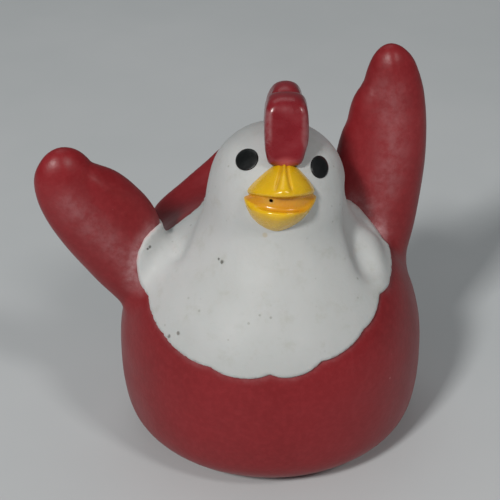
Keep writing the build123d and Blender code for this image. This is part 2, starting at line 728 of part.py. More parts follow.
leaf = [(-2.0, 7.32), (2.6, 5.12), (2.6, 4.92), (-2.0, 7.08)]
with BuildPart() as click_spring:
    with BuildSketch(Plane.XZ.offset(-2.1)):
        with BuildLine():
            Polyline(*[(arbor_a[0] + x, arbor_a[1] + z) for x, z in leaf], close=True)
        make_face()
        with Locations(peg_xz):
            Circle(0.6)
    extrude(amount=0.8)
    with BuildSketch(Plane.XZ.offset(-1.3)):
        with Locations(peg_xz):
            Circle(0.45)
    extrude(amount=1.3 - y_main[0])
click_spring.part.label = "click_spring"
export_step(click_spring.part, "parts/click_spring.step")

# ---------------------------------------------------------------- intermediate, crank and governor arbors
with BuildPart() as intermediate_arbor:
    with BuildSketch(Plane.XZ.offset(-plate_rear[1])):
        with Locations(arbor_b):
            Circle(r_b)
    extrude(amount=plate_rear[1] - plate_front[0])
intermediate_arbor.part.label = "intermediate_arbor"
export_step(intermediate_arbor.part, "parts/intermediate_arbor.step")

with BuildPart() as intermediate_pinion:
    with BuildSketch(Plane.XZ.offset(-y_ip[1])):
        with BuildLine():
            Polyline(*gear_outline(teeth_ip, arbor_b, ph_ip), close=True)
        make_face()
        with Locations(arbor_b):
            Circle(r_b, mode=Mode.SUBTRACT)
    extrude(amount=y_ip[1] - y_ip[0])
intermediate_pinion.part.label = "intermediate_pinion"
export_step(intermediate_pinion.part, "parts/intermediate_pinion.step")

with BuildPart() as intermediate_gear:
    with BuildSketch(Plane.XZ.offset(-y_ig[1])):
        with BuildLine():
            Polyline(*gear_outline(teeth_ig, arbor_b, ph_ig), close=True)
        make_face()
        with Locations(arbor_b):
            Circle(r_b, mode=Mode.SUBTRACT)
            with PolarLocations(4.7, 5):
                Circle(1.4, mode=Mode.SUBTRACT)
    extrude(amount=y_ig[1] - y_ig[0])
intermediate_gear.part.label = "intermediate_gear"
export_step(intermediate_gear.part, "parts/intermediate_gear.step")

with BuildPart() as crank_arbor:
    with BuildSketch(Plane.XZ.offset(-plate_rear[1])):
        with Locations(arbor_c):
            Circle(r_c)
    extrude(amount=plate_rear[1] - plate_front[0])
crank_arbor.part.label = "crank_arbor"
export_step(crank_arbor.part, "parts/crank_arbor.step")

with BuildPart() as crank_pinion:
    with BuildSketch(Plane.XZ.offset(-y_cp[1])):
        with BuildLine():
            Polyline(*gear_outline(teeth_cp, arbor_c, ph_cp), close=True)
        make_face()
        with Locations(arbor_c):
            Circle(r_c, mode=Mode.SUBTRACT)
    extrude(amount=y_cp[1] - y_cp[0])
crank_pinion.part.label = "crank_pinion"
export_step(crank_pinion.part, "parts/crank_pinion.step")

with BuildPart() as crank_gear:
    with BuildSketch(Plane.XZ.offset(-y_cg[1])):
        with BuildLine():
            Polyline(*gear_outline(teeth_cg, arbor_c, ph_cg), close=True)
        make_face()
        with Locations(arbor_c):
            Circle(r_c, mode=Mode.SUBTRACT)
            with PolarLocations(5.0, 4):
                Circle(1.2, mode=Mode.SUBTRACT)
    extrude(amount=y_cg[1] - y_cg[0])
crank_gear.part.label = "crank_gear"
export_step(crank_gear.part, "parts/crank_gear.step")

with BuildPart() as eccentric_cam:
    with BuildSketch(Plane.XZ.offset(-y_cam[1])):
        with Locations((arbor_c[0], arbor_c[1] + cam_e)):
            Circle(cam_r)
        with Locations(arbor_c):
            Circle(r_c, mode=Mode.SUBTRACT)
    extrude(amount=y_cam[1] - y_cam[0])
eccentric_cam.part.label = "eccentric_cam"
export_step(eccentric_cam.part, "parts/eccentric_cam.step")

with BuildPart() as governor_arbor:
    with BuildSketch(Plane.XZ.offset(-plate_rear[1])):
        with Locations(arbor_d):
            Circle(r_d)
    extrude(amount=plate_rear[1] - plate_front[0])
governor_arbor.part.label = "governor_arbor"
export_step(governor_arbor.part, "parts/governor_arbor.step")

with BuildPart() as governor_pinion:
    with BuildSketch(Plane.XZ.offset(-y_gp[1])):
        with BuildLine():
            Polyline(*gear_outline(teeth_gp, arbor_d, ph_gp), close=True)
        make_face()
        with Locations(arbor_d):
            Circle(r_d, mode=Mode.SUBTRACT)
    extrude(amount=y_gp[1] - y_gp[0])
governor_pinion.part.label = "governor_pinion"
export_step(governor_pinion.part, "parts/governor_pinion.step")

with BuildPart() as governor_flywheel:
    with BuildSketch(Plane.XZ.offset(-y_fly[1])):
        with Locations(arbor_d):
            Circle(4.0)
            Circle(r_d, mode=Mode.SUBTRACT)
    extrude(amount=y_fly[1] - y_fly[0])
    chamfer(governor_flywheel.edges().filter_by(GeomType.CIRCLE).sort_by(SortBy.RADIUS)[-2:], 0.3)
governor_flywheel.part.label = "governor_flywheel"
export_step(governor_flywheel.part, "parts/governor_flywheel.step")

# ---------------------------------------------------------------- feet, lever, axle and return spring
with BuildPart() as foot_axle:
    with BuildSketch(Plane.YZ):
        with Locations(foot_hinge):
            Circle(axle_r)
    extrude(amount=lug_x[1], both=True)
foot_axle.part.label = "foot_axle"
export_step(foot_axle.part, "parts/foot_axle.step")


def toes(cx, s):
    """Centres of the three toe tips and the heel of one foot in plan."""
    return [(cx - 4.2 * s, -11.4), (cx, -13.2), (cx + 3.6 * s, -10.6)]


with BuildPart() as foot_left:
    for tip in toes(leg_x, 1):
        with BuildSketch(Plane.XY):
            with Locations((leg_x, 2.6)):
                Circle(2.6)
            with Locations(tip):
                Circle(1.7)
            make_hull()
        extrude(amount=1.3)
    with BuildSketch(Plane.YZ.offset(leg_x - 1.6)):
        with BuildLine():
            Polyline((2.9, 1.0), (6.1, 1.0), (6.1, hz), (2.9, hz), close=True)
        make_face()
        with Locations(foot_hinge):
            Circle(1.6)
            Circle(axle_r + run, mode=Mode.SUBTRACT)
    extrude(amount=3.2)
foot_left.part.label = "foot_left"
export_step(foot_left.part, "parts/foot_left.step")

with BuildPart() as foot_right:
    for tip in toes(-leg_x, -1):
        with BuildSketch(Plane.XY):
            with Locations((-leg_x, 2.6)):
                Circle(2.6)
            with Locations(tip):
                Circle(1.7)
            make_hull()
        extrude(amount=1.3)
    with BuildSketch(Plane.YZ.offset(-leg_x - 1.6)):
        with BuildLine():
            Polyline((2.9, 1.0), (6.1, 1.0), (6.1, hz), (2.9, hz), close=True)
        make_face()
        with Locations(foot_hinge):
            Circle(1.6)
            Circle(axle_r + run, mode=Mode.SUBTRACT)
    extrude(amount=3.2)
foot_right.part.label = "foot_right"
export_step(foot_right.part, "parts/foot_right.step")

tappet_top = arbor_c[1] + cam_e - cam_r - tappet_gap
tappet_r = 1.0
tappet_y = -5.4
with BuildPart() as foot_lever:
    # sleeve on the axle between the two legs
    with BuildSketch(Plane.YZ.offset(-(leg_x - 1.6))):
        with Locations(foot_hinge):
            Circle(1.6)
    extrude(amount=2 * (leg_x - 1.6))
    # arm forwards under the crank gear, post and tappet bar under the cam
    with BuildSketch(Plane.YZ.offset(arm_x[0])):
        with BuildLine():
            Polyline((hy, 4.5), (tappet_y - tappet_r, 4.5), (tappet_y - tappet_r, tappet_top - tappet_r),
                     (tappet_y + tappet_r, tappet_top - tappet_r), (tappet_y + tappet_r, 6.0), (hy, 6.0), close=True)
        make_face()
        with Locations((tappet_y, tappet_top - tappet_r)):
            Circle(tappet_r)
    extrude(amount=arm_x[1] - arm_x[0])
    with BuildSketch(Plane.YZ.offset(arm_x[0])):
        with Locations((tappet_y, tappet_top - tappet_r)):
            Circle(tappet_r)
    extrude(amount=5.2)
    with BuildSketch(Plane.YZ):
        with Locations(foot_hinge):
            Circle(axle_r + run)
    extrude(amount=20, both=True, mode=Mode.SUBTRACT)
foot_lever.part.label = "foot_lever"
export_step(foot_lever.part, "parts/foot_lever.step")

with BuildPart() as sole_bridge:
    with BuildSketch(Plane.XY):
        Rectangle(2 * (leg_x - 2.6) + 1.2, 3.2)
    extrude(amount=1.1)
    add(foot_left.part, mode=Mode.SUBTRACT)
    add(foot_right.part, mode=Mode.SUBTRACT)
sole_bridge.part.label = "sole_bridge"
export_step(sole_bridge.part, "parts/sole_bridge.step")

# return spring: a coil around the axle beside the right leg, one leg on the foot and one on the base plate
coil_r, wire_r, coil_n, coil_pitch = 1.25, 0.17, 3, 0.42
with BuildPart() as foot_spring:
    with BuildLine(Plane.XY) as coil_line:
        Helix(pitch=coil_pitch, height=coil_n * coil_pitch, radius=coil_r, center=(-12.4, hy, hz), direction=(1, 0, 0))
    with BuildSketch(Plane(origin=coil_line.line @ 0, z_dir=coil_line.line % 0)):
        Circle(wire_r)
    sweep(path=coil_line.line)
    # the two straight ends
    with BuildSketch(Plane(origin=coil_line.line @ 0, z_dir=coil_line.line % 0)):
        Circle(wire_r)
    extrude(amount=-2.2)
    with BuildSketch(Plane(origin=coil_line.line @ 1, z_dir=coil_line.line % 1)):
        Circle(wire_r)
    extrude(amount=2.2)
foot_spring.part.label = "foot_spring"
export_step(foot_spring.part, "parts/foot_spring.step")
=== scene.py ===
# Wind-up hopping chicken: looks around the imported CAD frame. Shapes are worked out in millimetres and written in metres.
import json
import math

import bpy
import numpy as np
from mathutils import Matrix, Vector


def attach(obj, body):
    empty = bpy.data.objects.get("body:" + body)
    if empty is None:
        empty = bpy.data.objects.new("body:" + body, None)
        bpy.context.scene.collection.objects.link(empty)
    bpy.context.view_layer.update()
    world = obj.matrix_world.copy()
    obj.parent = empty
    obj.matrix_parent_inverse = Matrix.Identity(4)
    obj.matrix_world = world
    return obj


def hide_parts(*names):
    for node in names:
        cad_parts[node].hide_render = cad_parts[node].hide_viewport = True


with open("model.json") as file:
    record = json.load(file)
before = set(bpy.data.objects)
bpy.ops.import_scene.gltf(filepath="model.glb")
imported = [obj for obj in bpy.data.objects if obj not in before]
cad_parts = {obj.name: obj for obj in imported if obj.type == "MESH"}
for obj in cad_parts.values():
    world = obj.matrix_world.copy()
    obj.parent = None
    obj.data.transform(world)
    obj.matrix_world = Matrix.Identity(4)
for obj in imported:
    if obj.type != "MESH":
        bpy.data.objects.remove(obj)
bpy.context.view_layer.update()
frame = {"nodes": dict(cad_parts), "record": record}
MM = 0.001
scene = bpy.context.scene

# ------------------------------------------------------------------ camera, set first
AZ, EL, DIST, TARGET = math.radians(-10.0), math.radians(32.0), 250.0, np.array([0.0, 0.0, 30.0])
FPX = 1292.5
back = np.array([math.sin(AZ) * math.cos(EL), -math.cos(AZ) * math.cos(EL), math.sin(EL)])
cam_pos = TARGET + back * DIST
fwd = -back
right = np.cross(fwd, [0, 0, 1.0])
right /= np.linalg.norm(right)
up = np.cross(right, fwd)
fwd = fwd - right * (20.0 / FPX) + up * (30.0 / FPX)     # the figure stands a little right of and below the middle
fwd /= np.linalg.norm(fwd)
right = right - fwd * right.dot(fwd)
right /= np.linalg.norm(right)
up = np.cross(right, fwd)
cam_data = bpy.data.cameras.new("camera")
cam_data.sensor_width = 36.0
cam_data.lens = 36.0 * FPX / 500.0
cam_data.clip_start = 0.005
cam_data.clip_end = 20.0
cam = bpy.data.objects.new("camera", cam_data)
cam.matrix_world = Matrix(((right[0], up[0], -fwd[0], cam_pos[0] * MM),
                           (right[1], up[1], -fwd[1], cam_pos[1] * MM),
                           (right[2], up[2], -fwd[2], cam_pos[2] * MM),
                           (0, 0, 0, 1)))
scene.collection.objects.link(cam)
scene.camera = cam


# ------------------------------------------------------------------ distance functions of the outer form
def smin(a, b, k):
    h = np.clip(0.5 + 0.5 * (b - a) / k, 0, 1)
    return b + (a - b) * h - k * h * (1 - h)


def smax(a, b, k):
    return -smin(-a, -b, k)


def catmull(pts, n=14):
    p = np.array(pts, float)
    p = np.vstack([2 * p[0] - p[1], p, 2 * p[-1] - p[-2]])
    out = []
    for i in range(1, len(p) - 2):
        p0, p1, p2, p3 = p[i - 1], p[i], p[i + 1], p[i + 2]
        t = np.linspace(0, 1, n, endpoint=False)[:, None]
        out.append(0.5 * ((2 * p1) + (-p0 + p2) * t + (2 * p0 - 5 * p1 + 4 * p2 - p3) * t ** 2
                          + (-p0 + 3 * p1 - 3 * p2 + p3) * t ** 3))
    out.append(p[-2][None])
    return np.vstack(out)


class Turned:
    """Signed distance of a turned solid, tabled in (r, z). The profile runs from the bottom axis point to the top one."""

    def __init__(self, pts, h=0.35, pad=26.0, sharp=()):
        c = catmull(pts)
        c[:, 0] = np.maximum(c[:, 0], 0)
        self.h = h
        self.z0 = c[:, 1].min() - pad
        rr = np.arange(0, c[:, 0].max() + pad, h)
        zz = np.arange(self.z0, c[:, 1].max() + pad, h)
        self.nr, self.nz = len(rr), len(zz)
        gr, gz = np.meshgrid(rr, zz, indexing="ij")
        gr, gz = gr.ravel(), gz.ravel()
        best = np.full(len(gr), 1e18)
        inside = np.zeros(len(gr), bool)
        for (r1, z1), (r2, z2) in zip(c[:-1], c[1:]):
            dr, dz = r2 - r1, z2 - z1
            ll = max(dr * dr + dz * dz, 1e-12)
            t = np.clip(((gr - r1) * dr + (gz - z1) * dz) / ll, 0, 1)
            best = np.minimum(best, (gr - r1 - t * dr) ** 2 + (gz - z1 - t * dz) ** 2)
            if z1 != z2:
                m = (z1 <= gz) != (z2 <= gz)
                inside ^= m & (r1 + (gz - z1) / dz * dr > gr)
        best = np.sqrt(best)
        self.t = np.where(inside, -best, best).reshape(self.nr, self.nz)

    def __call__(self, r, z):
        u = np.clip(r / self.h, 0, self.nr - 1.001)
        v = np.clip((z - self.z0) / self.h, 0, self.nz - 1.001)
        i, j = u.astype(int), v.astype(int)
        fu, fv = u - i, v - j
        t = self.t
        return (t[i, j] * (1 - fu) + t[i + 1, j] * fu) * (1 - fv) + (t[i, j + 1] * (1 - fu) + t[i + 1, j + 1] * fu) * fv


class Outline:
    """Signed distance of a closed smooth outline in a plane, tabled."""

    def __init__(self, pts, h=0.25, pad=9.0):
        p = np.array(pts, float)
        n = len(p)
        c = []
        for i in range(n):
            p0, p1, p2, p3 = p[i - 1], p[i], p[(i + 1) % n], p[(i + 2) % n]
            t = np.linspace(0, 1, 7, endpoint=False)[:, None]
            c.append(0.5 * ((2 * p1) + (-p0 + p2) * t + (2 * p0 - 5 * p1 + 4 * p2 - p3) * t ** 2
                            + (-p0 + 3 * p1 - 3 * p2 + p3) * t ** 3))
        c = np.vstack(c)
        self.h = h
        self.o = c.min(0) - pad
        xs = np.arange(self.o[0], c[:, 0].max() + pad, h)
        ys = np.arange(self.o[1], c[:, 1].max() + pad, h)
        self.n = (len(xs), len(ys))
        gx, gy = np.meshgrid(xs, ys, indexing="ij")
        gx, gy = gx.ravel(), gy.ravel()
        best = np.full(len(gx), 1e18)
        inside = np.zeros(len(gx), bool)
        for (x1, y1), (x2, y2) in zip(c, np.roll(c, -1, 0)):
            dx, dy = x2 - x1, y2 - y1
            t = np.clip(((gx - x1) * dx + (gy - y1) * dy) / max(dx * dx + dy * dy, 1e-12), 0, 1)
            best = np.minimum(best, (gx - x1 - t * dx) ** 2 + (gy - y1 - t * dy) ** 2)
            if y1 != y2:
                m = (y1 <= gy) != (y2 <= gy)
                inside ^= m & (x1 + (gy - y1) / dy * dx > gx)
        best = np.sqrt(best)
        self.t = np.where(inside, -best, best).reshape(self.n)

    def __call__(self, x, y):
        u, v = (x - self.o[0]) / self.h, (y - self.o[1]) / self.h
        uc, vc = np.clip(u, 0, self.n[0] - 1.001), np.clip(v, 0, self.n[1] - 1.001)
        i, j = uc.astype(int), vc.astype(int)
        fu, fv = uc - i, vc - j
        t = self.t
        d = (t[i, j] * (1 - fu) + t[i + 1, j] * fu) * (1 - fv) + (t[i, j + 1] * (1 - fu) + t[i + 1, j + 1] * fu) * fv
        return d + np.hypot(u - uc, v - vc) * self.h


def rot(axis, deg):
    a = math.radians(deg)
    c, s = math.cos(a), math.sin(a)
    if axis == "x":
        return np.array([[1, 0, 0], [0, c, -s], [0, s, c]])
    if axis == "y":
        return np.array([[c, 0, s], [0, 1, 0], [-s, 0, c]])
    return np.array([[c, -s, 0], [s, c, 0], [0, 0, 1]])


BODY = [(0, 1.0), (14, 1.0), (20.5, 1.0), (24.2, 1.5), (27.9, 4.9), (29.2, 10.5), (29.4, 18), (28.8, 24), (26.8, 30.5),
        (23.3, 36), (17.5, 41), (9, 45), (0, 46.5)]
HEAD = [(0, -32), (14, -30), (18.0, -25), (16.2, -18.5), (14.3, -12), (13.4, -6), (12.9, 0.8), (10.9, 7.2), (6.3, 11.5), (0, 13.2)]
body_rev, head_rev = Turned(BODY), Turned(HEAD)
HEAD_C = np.array([0.9, -2.5, 50.8])
HEAD_R = rot("y", 1.5) @ rot("x", -8)
FR = HEAD_R @ rot("z", -9.3)                      # the face looks a little to one side
FC = HEAD_C + FR @ np.array([0.35, 0, 3.2])
FF = FR @ rot("y", 6.5)                           # and sits a little askew
CB = FR @ rot("y", 1.5)
CC = HEAD_C + FR @ np.array([1.0, 0, 0])


# soft folds between the neck and the shoulders: points, depth (a ridge where negative) and width
FOLDS = [([(12.6, -5.7, 49.4), (12.8, -6.7, 47.4), (13.3, -7.9, 45.3), (14.0, -9.4, 43.1), (14.7, -11.4, 41.0), (15.5, -13.1, 39.4)], 1.9, 2.8),
         ([(18.4, -6.0, 40.6), (18.2, -10.5, 39.0), (17.6, -14.0, 37.0)], -0.7, 2.4),
         ([(-12.6, 6.5, 45.5), (-14.4, 1.8, 44.2), (-16.4, -1.8, 42.4), (-18.0, -4.6, 40.4)], 1.0, 2.2)]


def along(p, pts):
    """Distance to a chain of straight runs."""
    best = np.full(len(p), 1e9)
    for a, b in zip(np.array(pts[:-1]), np.array(pts[1:])):
        d = b - a
        t = np.clip(((p - a) @ d) / (d @ d), 0, 1)
        best = np.minimum(best, ((p - a - t[:, None] * d) ** 2).sum(1))
    return np.sqrt(best)


def dent(p):
    out = np.zeros(len(p))
    for pts, depth, width in FOLDS:
        c = np.array(pts)
        m = ((p > c.min(0) - 3 * width) & (p < c.max(0) + 3 * width)).all(1)
        if m.any():
            out[m] += depth * np.exp(-(along(p[m], pts) / width) ** 2)
    return out


def f_ball(p):
    return body_rev(np.hypot(p[:, 0], p[:, 1]), p[:, 2]) + dent(p)


def f_head(p):
    q = (p - HEAD_C) @ HEAD_R
    return head_rev(np.hypot(q[:, 0], q[:, 1]), q[:, 2]) + dent(p)


def f_core(p):
    return smin(f_ball(p), f_head(p), 6.0)


def cap2(u, v, a, b, ra, rb):
    a, b = np.array(a, float), np.array(b, float)
    d = b - a
    t = np.clip(((u - a[0]) * d[0] + (v - a[1]) * d[1]) / (d @ d), 0, 1)
    return np.hypot(u - a[0] - t * d[0], v - a[1] - t * d[1]) - (ra + (rb - ra) * t)


def wing_frame(origin, direc, normal):
    v = np.array(direc, float)
    v /= np.linalg.norm(v)
    w = np.array(normal, float)
    w -= v * (w @ v)
    w /= np.linalg.norm(w)
    return np.array(origin, float), np.cross(v, w), v, w


WL = wing_frame((-19.8, 0, 31.0), (-0.565, -0.02, 0.825), (0.05, -0.97, 0.25))
WR = wing_frame((21.5, 3, 33), (0.075, 0.10, 0.95), (-0.05, -0.98, 0.12))
# feather outlines (across, along) in mm; the leading edge has negative x
L_MAIN = Outline([(-8.5, -4.5), (-8.75, 0), (-8.85, 5), (-9.1, 9.6), (-9.1, 14.5), (-9.0, 18.7), (-8.65, 22.8), (-8.1, 26.2),
                  (-7.1, 29.7), (-5.8, 32.4), (-4.2, 34.4), (-2.2, 35.6), (0.0, 36.1), (1.9, 35.8), (3.4, 34.8), (4.5, 33.2),
                  (5.0, 31.2), (5.0, 28.5), (4.8, 24), (4.5, 17), (4.2, 9), (3.6, 1), (1.8, -6), (-3, -9), (-7, -8)])
L_SECOND = Outline([(4.4, 29.0), (5.9, 27.4), (7.1, 24.9), (7.75, 22.3), (8.05, 19.8), (8.2, 17.1), (8.0, 14.6), (7.4, 12.2),
                    (6.3, 9.8), (5.2, 6.5), (3.6, 2), (1, -2), (-3, -2), (-4, 6), (-3, 18), (0, 26), (2.6, 29)])
R_MAIN = Outline([(-5.0, -7), (-5.8, -3), (-6.5, 0.9), (-7.3, 6.2), (-7.8, 12.5), (-8.0, 17), (-7.95, 20.7), (-7.55, 25.7),
                  (-6.6, 31.2), (-5.4, 35.0), (-3.8, 38.3), (-1.8, 40.4), (0.4, 41.3), (2.1, 40.9), (3.3, 39.8), (4.2, 38.2),
                  (4.9, 35.8), (5.3, 33.1), (5.4, 29.4), (5.5, 25.5), (5.7, 21.5), (5.8, 17.5), (5.6, 10), (4.6, 3), (3, -4),
                  (0, -8), (-3, -9)])
R_SECOND = Outline([(4.4, 34.0), (5.9, 32.5), (6.9, 30.4), (7.4, 28.0), (7.6, 25.7), (7.9, 22), (7.9, 16), (7.2, 9), (5, 1),
                    (1, -3), (-2, 0), (-3, 12), (-2, 24), (1.5, 32)])
R_THIRD = Outline([(6.4, 27.0), (7.6, 25.7), (8.4, 23.9), (8.9, 21.5), (9.2, 19.0), (9.3, 15), (8.8, 9), (7, 2), (3, -3),
                   (-1, 0), (-1, 12), (2, 22)])


def feather(d2, w, r, t):
    """A puffed plate: elliptical edge of width r, half thickness t."""
    a = np.maximum(d2 + r, 0) / r
    return (np.sqrt(a * a + (w / t) ** 2) - 1) * t * (0.55 + 0.45 * np.minimum(a, 1)) + 0.35 * np.maximum(d2, 0)


def f_wing_l(p):
    o, uu, vv, ww = WL
    q = p - o
    u, v, w = q @ uu, q @ vv, q @ ww
    w = w + 0.010 * u * u
    main = feather(L_MAIN(u, v), w, 7.4, 4.5 - 0.9 * np.clip(v / 36, 0, 1))
    second = feather(L_SECOND(u, v), w + 0.2, 6.0, 4.1)
    return smin(main, second, 1.1)


def f_wing_r(p):
    o, uu, vv, ww = WR
    q = p - o
    u, v, w = -(q @ uu), q @ vv, q @ ww
    w = w + 0.010 * u * u
    main = feather(R_MAIN(u, v), w, 7.0, 4.5 - 1.0 * np.clip(v / 41, 0, 1))
    second = feather(R_SECOND(u, v), w + 0.1, 4.6, 3.3)
    third = feather(R_THIRD(u, v), w + 0.1, 3.6, 2.7)
    return smin(smin(main, second, 0.5), third, 0.5)


def f_wings(p):
    return np.minimum(f_wing_l(p), f_wing_r(p))


T_ORG = np.array([-1.0, 12.0, 21.1])
T_V = np.array([-0.03, 0.72, 0.69])
T_V = T_V / np.linalg.norm(T_V)
T_W = np.cross([1.0, 0, 0], T_V)
T_W = T_W / np.linalg.norm(T_W)
TAIL = Outline([(-21.5, -4), (-22.3, 4), (-22.0, 10), (-21.2, 15), (-18.2, 20.0), (-12.5, 24.0), (-7.0, 27.8), (-3.4, 30.4),
                (0.2, 31.2), (3.6, 30.2), (7.6, 27.2), (12.8, 23.4), (17.8, 19.4), (20.8, 14.6), (21.8, 8), (21.4, 0),
                (18, -6), (0, -9), (-18, -7)])


def f_tail(p):
    q = p - T_ORG
    x, v, w = q[:, 0], q @ T_V, q @ T_W
    w = w + 0.006 * x * x - 1.2
    return feather(TAIL(x, v), w, 11.0, 7.6 - 3.6 * np.clip(v / 31, 0, 1))


def f_red(p):
    """Body, tail and wings without the head, hollow and open underneath, with the hole for the winding arbor."""
    d = smin(smin(f_ball(p), f_tail(p), 6.0), f_wings(p), 2.2)
    r = np.hypot(p[:, 0], p[:, 1])
    mouth = smax(r - 21.55, p[:, 2] - 5.2, 0.4)
    inner = smax(f_ball(p) + 1.9, 4.05 - p[:, 2], 0.6)
    bore = np.maximum(np.hypot(p[:, 0] + 3.5, p[:, 2] - 16.5) - 3.05, np.abs(p[:, 1] - 28) - 8)
    return smax(smax(d, -np.minimum(mouth, inner), 0.4), -bore, 0.3)


# edge of the cape: angle round the body from the front, polar angle from the body's middle, and how far the scallop
# that follows bulges, all in degrees
EDGE_C = np.array([0.0, 0.0, 20.0])
EDGE = [(-180, 44, 2.4), (-158, 44, 2.4), (-150, 42, 1.0), (-136, 35.2, 0), (-124, 33.0, 0), (-114, 35.5, 0), (-108, 39.5, 0), (-102, 46, 0), (-94, 52, 0), (-86, 57, 0),
        (-78, 60, 0), (-72, 61.3, 0.9), (-55.5, 69.0, 1.3), (-32, 74.1, 2.2), (-10, 74.1, 2.7), (9.1, 71.2, 1.5),
        (29.8, 64.9, 1.3), (45.3, 57.2, 0.6), (56.6, 56.7, 0), (67.6, 54.9, 0), (74, 53.8, 0), (80, 52.8, 0), (88, 51, 0),
        (96, 48.5, 0), (104, 45, 0), (114, 42.5, 2.0), (136, 43, 2.4), (158, 44, 2.4)]
# how far up each wing root the paint goes: (across, along) in the wing's own plane
LIM_L = np.array([(-7, -8), (-4, 2.5), (-3.1, 6.8), (-2.0, 8.8), (-0.8, 10.6), (0.6, 11.8), (3.0, 12.8), (4.6, 12.8), (6.0, 12.3),
                  (7.1, 11.4), (9, 9.5), (12, 6)], float)
LIM_R = np.array([(-8, -6), (-4, -1.5), (-1.8, 1.2), (-0.6, 3.0), (0.55, 5.4), (1.84, 7.0), (3.35, 8.6), (4.7, 10.0),
                  (6.3, 11.1), (8, 11.4), (11, 10)], float)


def edge_tables():
    e = np.array(EDGE, float)
    phi, th, bump = e[:, 0], e[:, 1], e[:, 2]
    grid = np.arange(-180.0, 180.01, 0.5)
    out = np.zeros(len(grid))
    n = len(phi)
    for k, g in enumerate(grid):
        i = int(np.searchsorted(phi, g, side="right")) - 1
        a, b = phi[i % n], phi[(i + 1) % n]
        span = (b - a) % 360
        t = ((g - a) % 360) / span
        out[k] = th[i % n] + (th[(i + 1) % n] - th[i % n]) * t + bump[i % n] * (1 - abs(2 * t - 1) ** 2.3)
    return grid, out


EDGE_PHI, EDGE_TH = edge_tables()
EDGE_SLOPE = np.gradient(EDGE_TH, EDGE_PHI)


def f_edge(p):
    """Distance along the surface beyond the cape's edge: negative where the cape is."""
    q = p - EDGE_C
    r = np.hypot(q[:, 0], q[:, 1])
    phi = np.degrees(np.arctan2(q[:, 0], -q[:, 1]))
    th = np.degrees(np.arctan2(r, q[:, 2]))
    e = np.interp(phi, EDGE_PHI, EDGE_TH)
    sl = np.interp(phi, EDGE_PHI, EDGE_SLOPE)
    dist = np.linalg.norm(q, axis=1)
    return np.radians(th - e) * dist / np.sqrt(1 + (sl / np.maximum(np.sin(np.radians(th)), 0.2)) ** 2)


def f_cape(p):
    """Outside of the painted head and cape: the head, the body grown by the paint's step and the roots of the wings under it."""
    return smin(smin(smin(f_ball(p), f_tail(p), 6.0) - 0.5, f_head(p), 6.0), f_wings(p) - 0.42, 3.0)


def f_painted(p):
    """Negative where the white paint is, on the body and on the wing roots."""
    d = f_edge(p)
    near_wing = f_core(p) - f_wings(p) + 1.0
    for (o, uu, vv, ww), lim, sd in ((WL, LIM_L, 1), (WR, LIM_R, -1)):
        q = p - o
        g = np.where(sd * p[:, 0] < 0, (q @ vv - np.interp(sd * (q @ uu), lim[:, 0], lim[:, 1])) * 0.75, -50.0)
        d = np.maximum(d, np.minimum(g, near_wing))
    return d


def f_white(p):
    skin = f_cape(p)
    under = smin(smin(f_ball(p), f_tail(p), 6.0), f_wings(p), 2.2)
    return np.maximum(smax(skin, f_painted(p), 0.45), -np.minimum(under + 0.7, f_head(p) + 1.8))


C_FRONT = Outline([(-2.9, 8.7), (-3.5, 10.4), (-3.75, 12.2), (-3.85, 15), (-3.75, 17.4), (-3.25, 19.1), (-2.3, 20.1), (-0.9, 20.6),
                   (0.7, 20.65), (2.0, 20.3), (3.0, 19.4), (3.6, 17.8), (3.85, 15.5), (3.85, 12.8), (3.45, 11.0), (2.7, 8.8),
                   (1.3, 8.3), (0, 8.1), (-1.5, 8.3)], pad=16.0)
C_BACK = Outline([(-3.6, 5), (-3.7, 9), (-3.75, 13.5), (-3.4, 16.2), (-2.8, 18.1), (-1.9, 19.7), (-0.6, 20.6), (0.7, 20.6),
                  (1.9, 19.8), (2.75, 18.3), (3.2, 16.5), (3.45, 13.5), (3.45, 9), (3.3, 5), (0, 4)], pad=16.0)


def f_comb(p):
    q = (p - CC) @ CB
    x, y, z = q[:, 0], q[:, 1], q[:, 2]
    l1 = cap2(y, z, (-7.7, 9.6), (-6.3, 16.7), 4.0, 3.9)
    l2 = cap2(y, z, (0.2, 9), (0.9, 16.4), 4.4, 4.2)
    l3 = cap2(y, z, (6.6, 8), (7.6, 12.4), 4.0, 3.6)
    first = smax(l1, C_FRONT(x, z), 1.5)
    second = smax(l2, C_BACK(x, z), 1.5)
    third = smax(l3, C_BACK(x * 1.12, z + 4.0), 1.5)
    return smin(smin(first, second, 0.6), third, 0.6)


def crease_line(z, x0, x1):
    k = np.clip((5.6 - z) / 3.4, 0, 1)
    return x0 + (x1 - x0) * k ** 1.3


